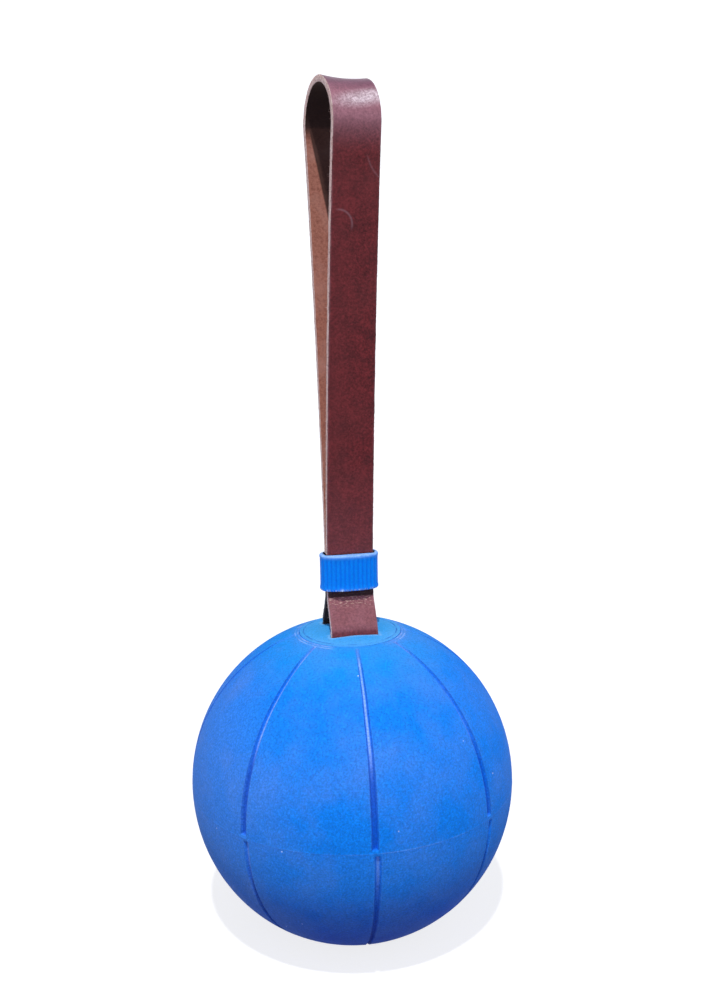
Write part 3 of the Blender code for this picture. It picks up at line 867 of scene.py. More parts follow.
@dataclass
class RubberBall:
    """The hollow ball: two moulded halves with eight grooves that stop short of the equator."""

    layout: Layout
    panels: int = 8
    panel_turn: float = math.radians(-4.5)
    lower_slip: float = math.radians(0.9)
    groove_width: float = 3.6 * MM
    groove_width_pole: float = 2.2 * MM
    groove_depth: float = 1.7 * MM
    groove_spread: float = 1.35
    # Across a groove, in half widths: the shoulder, the flank's width, the lip's place and width.
    shoulder: float = 1.02
    flank: float = 0.62
    lip_place: float = 1.12
    lip_width: float = 0.12
    lip: float = 0.05 * MM
    # Along a groove: where it starts at either end, how long it takes to sink, and where it is fully deep.
    groove_stop: float = 1.3 * MM
    groove_run: float = 0.9 * MM
    pole_stop: float = 0.9 * MM
    pole_run: float = 2.4 * MM
    pole_depth: float = 0.45
    deepest_from: float = 26 * MM
    flash: float = 0.07 * MM
    flash_width: float = 0.28 * MM
    waist: float = 0.26 * MM
    rim_round: float = 0.8 * MM
    rim_drop: float = 0.45 * MM
    columns: int = 40
    groove_columns: int = 20
    rings: int = 120
    # The parting cut lies a hair off the equator, where no ring of the sphere does.
    parting_latitude: float = 0.00002
    flat_insets: Span = (1.5 * MM, 8.0 * MM)
    # Added level loops, as distances from the equator and from the crown hole or the flat, in millimetres.
    equator_loops: tuple[float, ...] = (0.15, 0.3, 0.5, 1.2, 1.5, 1.75, 2.0, 2.3, 2.7)
    pole_loops: tuple[float, ...] = (0.15, 0.35, 0.6, 0.9, 1.3, 1.8, 2.3, 2.45, 2.6, 2.75, 2.9, 3.4, 4.2)

    def pole_latitude(self, half: Half) -> float:
        """Latitude of the crown hole's rim or of the standing flat's edge."""
        edge = self.layout.cap_radius + self.layout.gap
        if half is Half.LOWER:
            edge = self.layout.flat_radius
        return math.acos(edge / self.layout.ball_radius)

    def cut_level(self, half: Half, latitude: float, **kept: bool) -> None:
        """Cut the sphere level, in edit mode.

        Args:
            half: the half that is being made.
            latitude: the cut's latitude on that half.
            kept: what the cut clears or fills.
        """
        height = self.layout.centre + half.value * self.layout.ball_radius * math.sin(latitude)
        bpy.ops.mesh.select_all(action="SELECT")
        bpy.ops.mesh.bisect(plane_co=(0, 0, height), plane_no=(0, 0, 1), threshold=CUT_EXACT, **kept)

    def shell(self, half: Half) -> bpy.types.Object:
        """Cut one half out of a sphere, add the loops that the grooves' ends need, and give it its wall."""
        radius = self.layout.ball_radius
        item = primitive(
            bpy.ops.mesh.primitive_uv_sphere_add,
            f"ball_{half.name.lower()}_half",
            segments=self.panels * self.columns,
            ring_count=self.rings,
            radius=radius,
            location=(0, 0, self.layout.centre),
        )
        edit(item)
        pole = self.pole_latitude(half)
        for distance in self.equator_loops:
            self.cut_level(half, distance * MM / radius)
        for distance in self.pole_loops:
            self.cut_level(half, pole - distance * MM / radius)
        upper = half is Half.UPPER
        self.cut_level(half, self.parting_latitude, clear_inner=upper, clear_outer=not upper)
        self.cut_level(half, pole, clear_inner=not upper, clear_outer=upper, use_fill=not upper)
        if half is Half.LOWER:
            bpy.ops.mesh.select_mode(type="FACE")
            pick_faces(item, lambda middle, normal: middle.z < TOUCH)
            for thickness in self.flat_insets:
                bpy.ops.mesh.inset(thickness=thickness)
        leave_edit()
        settle(item)
        wall = item.modifiers.new("Wall", "SOLIDIFY")
        wall.thickness = self.layout.wall
        wall.offset = -1.0
        apply_modifiers(item)
        return item

    def groove_place(self, column: np.ndarray, reach: np.ndarray, latitude: np.ndarray) -> tuple:
        """Gather the mesh columns at the grooves.

        Args:
            column: number of each vertex's column, counted round the ball.
            reach: distance of each vertex from the ball's upright axis.
            latitude: share of the way from the equator to the pole's edge.

        Returns:
            The new angle round the ball, and the place across the groove in half widths, far off it a 9.
        """
        panel, place = np.divmod(column, self.columns)
        pitch = 2 * math.pi / self.panels
        width = self.groove_width + (self.groove_width_pole - self.groove_width) * ease(latitude)
        spread = self.groove_spread
        half = np.arcsin(np.minimum(0.3, spread * width / 2 / np.maximum(reach, 1 * MM)))
        in_groove = place <= self.groove_columns
        across = spread * (2 * place / self.groove_columns - 1)
        between = (place - self.groove_columns) / (self.columns - self.groove_columns)
        angle = np.where(in_groove, half * across / spread, half + between * (pitch - 2 * half))
        # The mould's grooves waver by about a tenth of a degree.
        waver = 0.0016 * np.sin(latitude * 7 + panel * 2.1) + 0.0008 * np.sin(latitude * 19 + panel)
        return angle + waver + panel * pitch, np.where(in_groove, np.abs(across), 9.0)

    def press(self, item: bpy.types.Object, half: Half) -> None:
        """Press the grooves into the outer face and store where dust and wear collect."""
        radius = self.layout.ball_radius
        pole = self.pole_latitude(half)
        points = points_of(item)
        x, y, z = points.T
        z -= self.layout.centre
        length = np.linalg.norm(points, axis=1)
        reach = np.hypot(x, y)
        latitude = np.abs(np.arcsin(np.clip(z / length, -1, 1)))
        on_face = length > radius - 0.2 * MM
        outer = on_face | (np.abs(z + self.layout.centre) < TOUCH)
        column = column_of(points, self.panels * self.columns)
        angle, across = self.groove_place(column, reach, latitude / pole)
        start_angle = self.panel_turn - math.pi / 2
        if half is Half.LOWER:
            start_angle += self.lower_slip
        angle += start_angle
        equator = latitude * radius
        to_pole = (pole - latitude) * radius
        run = ease((equator - self.groove_stop) / self.groove_run)
        run = run * ease((to_pole - self.pole_stop) / self.pole_run)
        share = self.pole_depth + (1 - self.pole_depth) * ease(to_pole / self.deepest_from)
        deep = self.groove_depth * share
        dip = ease((self.shoulder - across) / self.flank) * run
        lip = bump_at(across, self.lip_place, self.lip_width) * run
        rise = self.flash * bump_at(equator, 0.0, self.flash_width) + self.lip * lip - deep * dip
        rise = rise - self.waist * np.cos(latitude) ** 8
        rim = np.clip(1 - to_pole / self.rim_round, 0, 1) ** 2 * self.rim_drop
        rise = np.where(on_face, rise - rim, 0.0)
        if half is Half.UPPER:
            # The inner wall ends above the crown hole's upright side, not on the slant to the centre.
            hole = math.acos((self.layout.cap_radius + self.layout.gap) / (radius - self.layout.wall))
            latitude = np.where(outer, latitude, latitude * hole / pole)
            length = np.where(outer, radius, radius - self.layout.wall)
            reach = length * np.cos(latitude)
            z[:] = length * np.sin(latitude)
        scale = 1 + rise / length
        x[:] = reach * np.cos(angle) * scale
        y[:] = reach * np.sin(angle) * scale
        z[:] = z * scale + self.layout.centre
        move_points(item, points)
        # What the materials read: painted light on the crown and on the -X side, dust, wear with painted
        # highlights on the groove floors, and painted shade in the grooves with a dark seam at the crown
        # hole.
        upper = 1.0 if half is Half.UPPER else 0.0
        lit = ease((to_pole - 5 * MM) / (9 * MM)) * ease((equator - 30 * MM) / (24 * MM)) * upper
        sides = ease((np.abs(np.cos(angle)) - 0.35) / 0.3) * upper
        broken = ease((wander(angle, 7, 0.5) - 0.35) / 0.3)
        # Painted light: the crown paler, fading out 44 mm from the crown hole.
        write_attribute(item, "crown_light", ease((44 * MM - to_pole) / (40 * MM)) * upper)
        near_pole = dip * ease((22 * MM - to_pole) / (14 * MM)) * upper
        by_crown = 0.35 * sides * bump_at(to_pole, 0, 5 * MM)
        # Painted light: paler towards -X, the key light's side, held in the dust attribute.
        lit_left = ease((-x / radius - 0.45) / 0.5)
        dust = 0.75 * near_pole + 0.2 * lip + by_crown + 0.1 * (1 - upper)
        write_attribute(item, "dust", dust + 0.42 * lit_left)
        turned = ease((np.cos(angle) + 0.9) / 0.9)
        line = bump_at(equator, 0.0, 0.25 * MM) * (0.05 + 0.16 * broken) * turned
        # Painted highlight: the groove floors are pale where they would catch the light, held in the wear
        # attribute.
        low_floor_highlight = 0.42 * ease((34 * MM - equator) / (24 * MM)) * (1 - upper)
        floor_highlight = (0.85 * lit + low_floor_highlight) * ease((0.62 - across) / 0.4) * run
        arcs = (bump_at(to_pole, 0.8 * MM, 0.35 * MM) + bump_at(to_pole, 2.4 * MM, 0.3 * MM)) * sides
        write_attribute(item, "wear", floor_highlight + line + 0.75 * arcs * (0.3 + 0.7 * broken))
        # Painted shade in the grooves where the painted highlight is not, and along their walls.
        groove_shade = ease((1.0 - across) / 0.5) * run * (1 - lit) * (0.62 if upper else 0.4)
        groove_shade = groove_shade * ease((to_pole - 10 * MM) / (20 * MM))
        groove_shade = groove_shade * ease((equator + 24 * MM * upper - 4 * MM) / (20 * MM))
        wall_shade = 0.5 * bump_at(across, 0.92, 0.16) * run * upper * ease((to_pole - 6 * MM) / (14 * MM))
        rim_dark = bump_at(to_pole, 0.0, 0.35 * MM) * upper * (1 - sides) * ease(broken * 1.4 - 0.2)
        write_attribute(item, "shade_and_seams", np.clip(np.maximum(groove_shade, wall_shade) + 0.5 * rim_dark, 0, 1))

    def build(self) -> list[bpy.types.Object]:
        """Make both halves, dress them and hang them on the ball's body."""
        made = []
        for half in Half:
            item = self.shell(half)
            self.press(item, half)
            smooth(item, 42)
            item.data.materials.append(BALL_RUBBER.material())
            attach(item, Body.BALL.value)
            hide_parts(f"shell_{half.name.lower()}_half")
            made.append(item)
        return made


@dataclass
class CrownCap:
    """The round cap at the top pole, with the two slots that the strap comes out of."""

    layout: Layout
    sides: int = 192
    insets: int = 16
    slot_round: float = 0.9 * MM
    edge_round: float = 0.45 * MM
    witness_radius: float = 24.9 * MM
    witness_depth: float = 0.25 * MM
    witness_spacing: float = 0.3 * MM
    swell: float = 0.25 * MM
    swell_offset: float = 15.5 * MM
    swell_width: float = 3 * MM
    swell_stretch: float = 1.6

    def blank(self) -> bpy.types.Object:
        """A round plug whose top is inset into rings and raised into the dome."""
        layout = self.layout
        item = primitive(
            bpy.ops.mesh.primitive_cylinder_add,
            "crown_cap_dressed",
            vertices=self.sides,
            radius=layout.cap_radius,
            depth=layout.crown_depth,
            location=(0, 0, (layout.rim + layout.seat) / 2),
        )
        edit(item, "FACE")
        pick_faces(item, lambda middle, normal: normal.z > 0.9)
        # Five close rings carry the witness line. The rest of the way in is even.
        close = (self.witness_radius + i * self.witness_spacing for i in (2, 1, 0, -1, -2))
        rings = [layout.cap_radius, *close]
        rings += list(np.linspace(rings[-1], 0, self.insets + 1)[1:-1])
        for outer, inner in zip(rings, rings[1:]):
            bpy.ops.mesh.inset(thickness=(outer - inner) * math.cos(math.pi / self.sides))
        bpy.ops.mesh.poke()
        leave_edit()
        points = points_of(item)
        x, y, z = points.T
        reach = np.hypot(x, y)
        dome = (layout.cap_radius**2 + layout.crown_dome**2) / (2 * layout.crown_dome)
        height = layout.cap_top - dome + np.sqrt(dome**2 - reach**2)
        top = z > layout.rim - TOUCH
        # The rubber stands a little proud beside the slots, where the strap pulls at it.
        beside = np.hypot(x / self.swell_stretch, np.abs(y) - self.swell_offset)
        line = self.witness_depth * bump_at(reach, self.witness_radius, self.witness_spacing)
        swell = self.swell * bump_at(beside, 0, self.swell_width)
        z[:] = np.where(top, height + swell - line, z)
        move_points(item, points)
        settle(item)
        return item

    def slot_cutters(self) -> bpy.types.Object:
        """Two upright bars with rounded corners, as one cutter."""
        layout = self.layout
        width, depth = layout.slot_half
        bars = []
        for side in (-1, 1):
            bar = primitive(
                bpy.ops.mesh.primitive_cube_add,
                f"slot_bar_{side}",
                size=1,
                location=(0, side * layout.slot_spacing / 2, layout.rim),
                scale=(2 * width, 2 * depth, 3 * layout.crown_depth),
            )
            edit(bar, "EDGE")
            pick_edges(bar, lambda a, b: abs(a.z - b.z) > layout.crown_depth)
            bpy.ops.mesh.bevel(offset=self.slot_round, segments=5, affect="EDGES")
            leave_edit()
            bars.append(bar)
        return joined(*bars)

    def stain(self, item: bpy.types.Object) -> None:
        """Store where the cap is dusty, pale at the slots' lips from rubbing and a painted highlight, and
        dark in its witness line.
        """
        x, y, z = points_of(item).T
        reach = np.hypot(x, y)
        width, depth = self.layout.slot_half
        near_x = np.maximum(np.abs(x) - width, 0)
        near_y = np.abs(np.abs(y) - self.layout.slot_spacing / 2) - depth
        lip = bump_at(np.hypot(near_x, np.maximum(near_y, 0)), 0.5 * MM, 0.7 * MM)
        on_top = z > self.layout.rim - 0.6 * MM
        write_attribute(item, "dust", 0.35 * on_top * ease((reach - 19 * MM) / (7 * MM)))
        # The slots' lips: rubbed wear and a painted highlight.
        write_attribute(item, "wear", 0.5 * lip * on_top)
        broken = wander(np.arctan2(y, x), 6, 9.5)
        share = 0.35 + 0.65 * ease((broken - 0.3) / 0.35)
        line = bump_at(reach, self.witness_radius, 0.32 * MM) * share * on_top
        write_attribute(item, "shade_and_seams", 0.85 * line)

    def build(self) -> bpy.types.Object:
        """Make the cap, cut the slots, round every rim and dress it."""
        item = self.blank()
        cut_out(item, self.slot_cutters())
        rounding = item.modifiers.new("Rims", "BEVEL")
        rounding.width = self.edge_round
        rounding.segments = 3
        rounding.limit_method = "ANGLE"
        rounding.angle_limit = math.radians(55)
        apply_modifiers(item)
        self.stain(item)
        smooth(item, 40)
        item.data.materials.append(CAP_RUBBER.material())
        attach(item, Body.BALL.value)
        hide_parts("crown_cap")
        return item


@dataclass
class RibbedSlider:
    """The keeper: a flattened rubber ring with shallow upright ribs and flared rims."""

    layout: Layout
    side_wall: float = 2.6 * MM
    face_wall: float = 3.6 * MM
    clearance: float = 0.3 * MM
    roundness: float = 2.6
    hole_roundness: float = 16.0
    columns: int = 384
    rows: int = 26
    ribs: int = 32
    rib_height: float = 0.26 * MM
    # How far below and above the ribs the plain rims reach, and how long the ribs take to rise there.
    rims: Span = (0.3 * MM, 1.9 * MM)
    rib_runs: Span = (0.8 * MM, 1.2 * MM)
    flare: float = 0.3 * MM
    flare_place: float = 0.9 * MM
    flare_width: float = 1.3 * MM
    rim_round: float = 0.95 * MM
    hole_round: float = 0.7
    nib_height: float = 0.55 * MM
    nib_width: float = 0.55 * MM
    nib_across: float = -5.3 * MM
    nib_level: float = 0.5 * MM

    def outline(self, outer: bool) -> tuple[np.ndarray, np.ndarray]:
        """Evenly spaced points round one skin of the ring, and the outward directions there.

        Args:
            outer: whether it is the outer skin, or else the hole.

        Returns:
            The points and the unit normals, as arrays of (x, y) rows.
        """
        layout = self.layout
        width = layout.strap_width + 2 * self.clearance
        depth = 2 * layout.strap_thickness + layout.gap + 2 * self.clearance
        power = self.hole_roundness
        if outer:
            width += 2 * self.side_wall
            depth += 2 * self.face_wall
            power = self.roundness
        angle = np.linspace(0, 2 * math.pi, 7201)
        cosine = np.cos(angle)
        sine = np.sin(angle)
        x = np.sign(cosine) * np.abs(cosine) ** (2 / power) * width / 2
        y = np.sign(sine) * np.abs(sine) ** (2 / power) * depth / 2
        along = np.concatenate([[0], np.cumsum(np.hypot(np.diff(x), np.diff(y)))])
        even = np.linspace(0, along[-1], self.columns, endpoint=False)
        points = np.stack([np.interp(even, along, x), np.interp(even, along, y)], axis=1)
        ahead = np.roll(points, -1, axis=0) - np.roll(points, 1, axis=0)
        normals = np.stack([ahead[:, 1], -ahead[:, 0]], axis=1)
        return points, normals / np.linalg.norm(normals, axis=1, keepdims=True)

    def fluted(self, column: np.ndarray) -> np.ndarray:
        """1 in the flutes between the ribs and 0 on the ribs' crowns, for each column."""
        return ease((0.35 - np.cos(2 * math.pi * self.ribs * column / self.columns)) / 1.1)

    def tube(self, name: str, outer: bool) -> bpy.types.Object:
        """One skin of the ring, from a cylinder cut into rows and shaped row by row.

        Args:
            name: the skin's name.
            outer: whether it is the outer skin, or else the hole.

        Returns:
            The open tube, in place.
        """
        height = self.layout.slider_height
        item = primitive(
            bpy.ops.mesh.primitive_cylinder_add,
            name,
            vertices=self.columns,
            radius=1.0,
            depth=height,
            end_fill_type="NOTHING",
        )
        edit(item, "EDGE")
        pick_edges(item, lambda a, b: abs(a.z - b.z) > height / 2)
        bpy.ops.mesh.subdivide(number_cuts=self.rows - 1)
        leave_edit()
        ring, normals = self.outline(outer)
        points = points_of(item)
        column = column_of(points, self.columns)
        share = points[:, 2] / height + 0.5
        level = height * (1 - np.cos(math.pi * share)) / 2
        end = np.minimum(level, height - level)
        curve = np.clip(self.rim_round - end, 0, self.rim_round)
        pull = self.rim_round - np.sqrt(self.rim_round**2 - curve**2)
        out = pull * self.hole_round
        if outer:
            ribbed = ease((level - self.rims[0]) / self.rib_runs[0])
            ribbed = ribbed * ease((height - level - self.rims[1]) / self.rib_runs[1])
            out = self.flare * bump_at(end, self.flare_place, self.flare_width) - pull
            out = out - ribbed * self.rib_height * self.fluted(column)
        x = ring[column, 0] + normals[column, 0] * out
        y = ring[column, 1] + normals[column, 1] * out
        if outer:
            # The mould left a small nib on the front's lower edge.
            from_nib = np.hypot(x - self.nib_across, (level - self.nib_level) * 1.2)
            y = y - bump_at(from_nib, 0, self.nib_width) * (y < 0) * self.nib_height
        move_points(item, np.stack([x, y, self.layout.slider_bottom + level], axis=1))
        return item

    def stain(self, item: bpy.types.Object) -> None:
        """Store the painted highlights on both rims, the pale nib, the dusty upper rim, and painted shade
        between the ribs and under the lower rim.
        """
        x, y, z = points_of(item).T
        low = z - self.layout.slider_bottom
        high = self.layout.stem_top - z
        nib = np.hypot(x - self.nib_across, low * 1.2)
        turn = np.arctan2(y, x)
        # Painted highlight: pale dashes on the lower rim and a pale band on the upper rim, where the rims
        # catch the light; the nib is pale rubber.
        rim_highlight = ease(np.sin(turn * 61) * 0.8 + np.sin(turn * 23 + 1) * 0.6 + 0.4)
        wear = 1.1 * bump_at(low, 0.55 * MM, 0.42 * MM) * rim_highlight + 0.5 * bump_at(high, 0.2 * MM, 1.1 * MM)
        wear = wear + 1.8 * bump_at(nib, 0, 1.1 * MM) * (y < 0)
        write_attribute(item, "wear", np.clip(wear, 0, 1))
        write_attribute(item, "dust", 0.8 * bump_at(high, 0.3 * MM, 1.5 * MM))
        ring, _ = self.outline(True)
        ring_turn = np.unwrap(np.arctan2(ring[:, 1], ring[:, 0]))
        column = np.interp(turn % (2 * math.pi), ring_turn, np.arange(self.columns))
        # Painted shade under the lower rim and in the flutes between the ribs.
        shade_and_seams = 0.9 * (low < 0.05 * MM) + 0.3 * self.fluted(column) * (low > 1 * MM) * (high > 2.6 * MM)
        write_attribute(item, "shade_and_seams", np.clip(shade_and_seams, 0, 1))

    def build(self) -> bpy.types.Object:
        """Join the two skins at their rims, and dress the ring."""
        item = joined(self.tube("slider_ring", True), self.tube("slider_hole", False))
        edit(item, "EDGE")
        for level in (self.layout.slider_bottom, self.layout.stem_top):
            pick_edges(item, lambda a, b: max(abs(a.z - level), abs(b.z - level)) < DOUBLES)
            bpy.ops.mesh.bridge_edge_loops()
        leave_edit()
        settle(item)
        self.stain(item)
        smooth(item, 50)
        item.data.materials.append(SLIDER_RUBBER.material())
        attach(item, Body.SLIDER.value)
        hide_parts("slider")
        return item


@dataclass
class StrapLine:
    """The strap's centreline. Its coordinates are across, along from the front tail's end, and through."""

    layout: Layout
    bend: float = 2.0 * MM
    pivot_bend: float = 3.0 * MM
    stem_bend: float = 2.0 * MM
    tail_lap: float = 24.5 * MM
    crest_steps: int = 160
    points: int = 4001
    cup_reach: float = 26 * MM

    def __post_init__(self) -> None:
        """Lay the line of one side out as a dense row of points."""
        corners = [np.array(corner) for corner in self.corners()]
        reaches = [self.bend, self.bend, self.bend, self.pivot_bend, self.stem_bend]
        line = [corners[0]]
        for before, corner, after, reach in zip(corners, corners[1:], corners[2:], reaches):
            line += self.rounded(before, corner, after, reach)
        layout = self.layout
        sweep = math.pi / 2 + layout.run_lean
        for i in range(self.crest_steps + 1):
            angle = -layout.run_lean + sweep * i / self.crest_steps
            x = layout.crest_radius * math.cos(angle)
            z = layout.crest_centre + layout.crest_radius * math.sin(angle)
            line.append(np.array([x, z]))
        rough = np.array(line)
        along = np.concatenate([[0], np.cumsum(np.linalg.norm(np.diff(rough, axis=0), axis=1))])
        self.half_length = float(along[-1])
        self.along = np.linspace(0, self.half_length, self.points)
        self.out = np.interp(self.along, along, rough[:, 0])
        self.height = np.interp(self.along, along, rough[:, 1])
        slope = np.stack([np.gradient(self.out), np.gradient(self.height)], axis=1)
        self.slope = slope / np.linalg.norm(slope, axis=1, keepdims=True)

    def corners(self) -> list[tuple[float, float]]:
        """Corners of one side from the tail's end up, as distance from the middle plane and height."""
        layout = self.layout
        slot = layout.slot_spacing / 2
        stem = layout.stem_offset
        bar_centre = layout.plate_bottom - layout.gap - layout.bar_diameter / 2
        below_plate = layout.plate_bottom - self.bend
        to_bar = (-slot, bar_centre - below_plate)
        clear = layout.bar_diameter / 2 + layout.strap_thickness / 2 + layout.gap
        direction = math.atan2(to_bar[1], to_bar[0]) + math.asin(clear / math.hypot(*to_bar))
        joint = below_plate - (slot - stem) * math.tan(direction)
        self.tail_end = joint - self.tail_lap
        crest_out = layout.crest_radius * math.cos(layout.run_lean)
        crest_height = layout.crest_centre - layout.crest_radius * math.sin(layout.run_lean)
        return [
            (stem, self.tail_end),
            (stem, joint),
            (slot, below_plate),
            (slot, layout.cap_top + self.bend),
            (stem, layout.pivot),
            (stem, layout.stem_top),
            (crest_out, crest_height),
        ]

    @staticmethod
    def rounded(before: np.ndarray, corner: np.ndarray, after: np.ndarray, reach: float) -> list:
        """Round one corner of the line with a short curve.

        Args:
            before: the point before the corner.
            corner: the corner itself.
            after: the point after the corner.
            reach: how far from the corner the curve starts.

        Returns:
            The curve's points.
        """
        start = corner + (before - corner) / np.linalg.norm(before - corner) * reach
        end = corner + (after - corner) / np.linalg.norm(after - corner) * reach
        return [(1 - t) ** 2 * start + 2 * t * (1 - t) * corner + t**2 * end for t in np.linspace(0, 1, 17)]

    def along_at(self, height: float) -> float:
        """Distance along the front side to a height above the cap."""
        above = self.height > self.layout.cap_top
        return float(np.interp(height, self.height[above], self.along[above]))

    def wrap(self, flat: np.ndarray) -> np.ndarray:
        """Turn places on the flat strap into places in the frame.

        Args:
            flat: rows of across, along and through, where the grain side is positive.

        Returns:
            Rows of x, y and z.
        """
        layout = self.layout
        across, along, through = flat[:, 0], flat[:, 1], flat[:, 2]
        # Leather that is bent over a crest turns its edges up, the left one more.
        share = across / (layout.strap_width / 2)
        cup = (0.3 + 1.0 * share**2 - 0.35 * share) * MM
        through = through + cup * bump_at(along, self.half_length, self.cup_reach)
        front = along <= self.half_length
        side = np.where(front, -1.0, 1.0)
        mirrored = np.where(front, along, 2 * self.half_length - along)
        rows = (self.out, self.height, self.slope[:, 0], self.slope[:, 1])
        out, height, slope_out, slope_up = (np.interp(mirrored, self.along, row) for row in rows)
        size = np.hypot(slope_out, slope_up)
        y = side * (out + through * slope_up / size)
        level = height - through * slope_out / size
        # The loop twists evenly from the slider to the crest's centre.
        share = (height - layout.stem_top) / (layout.crest_centre - layout.stem_top)
        twist = layout.strap_twist * np.clip(share, 0, 1)
        x = across * np.cos(twist) - y * np.sin(twist)
        return np.stack([x, across * np.sin(twist) + y * np.cos(twist), level], axis=1)


@dataclass
class Frayed:
    """Stray fibres along the strap's raw edges. One is modelled and then copied."""

    length: float = 1.2 * MM
    radius: float = 0.07 * MM
    spacing: float = 2.4 * MM
    curl: float = 0.35
    root: float = 0.15 * MM
    end_margin: float = 1.5 * MM
    tilt: float = 0.7

    def template(self) -> bpy.types.Object:
        """One tapered fibre that points along +X from the origin and curls a little."""
        item = primitive(
            bpy.ops.mesh.primitive_cone_add,
            "stray_fibre",
            vertices=4,
            radius1=self.radius,
            radius2=self.radius * 0.2,
            depth=self.length,
            location=(self.length / 2, 0, 0),
            rotation=(0, math.pi / 2, 0),
        )
        edit(item, "EDGE")
        pick_edges(item, lambda a, b: abs(a.x - b.x) > self.length / 2)
        bpy.ops.mesh.subdivide(number_cuts=2)
        leave_edit()
        points = points_of(item)
        points[:, 1] += self.curl * points[:, 0] ** 2 / self.length
        move_points(item, points)
        return item

    def add_to(self, item: bpy.types.Object, start: float, end: float, seed: int) -> None:
        """Scatter copies along both edges of a flat strap piece and join them to it.

        Args:
            item: the flat piece, with x across, y along and z through.
            start: where the piece begins along the strap.
            end: where it ends.
            seed: number that fixes the scatter.
        """
        chance = random.Random(seed)
        template = self.template()
        half, thickness = item.dimensions.x / 2, item.dimensions.z
        copies = []
        for number in range(2 * int((end - start) / self.spacing)):
            side = -1 if number % 2 else 1
            along = chance.uniform(start + self.end_margin, end - self.end_margin)
            through = chance.uniform(-0.42, 0.42) * thickness
            roll = chance.uniform(0, 6.28)
            pitch = chance.uniform(-self.tilt, self.tilt)
            yaw = chance.gauss(0, self.tilt) + (math.pi if side < 0 else 0)
            size = chance.uniform(0.35, 1.15)
            place = Matrix.Translation((side * (half - self.root), along, through))
            turn = Euler((roll, pitch, yaw)).to_matrix().to_4x4()
            copy = bpy.data.objects.new("fibre", template.data.copy())
            copy.data.transform(place @ turn @ Matrix.Scale(size, 4))
            bpy.context.collection.objects.link(copy)
            copies.append(copy)
        bpy.data.objects.remove(template, do_unlink=True)
        joined(item, *copies)


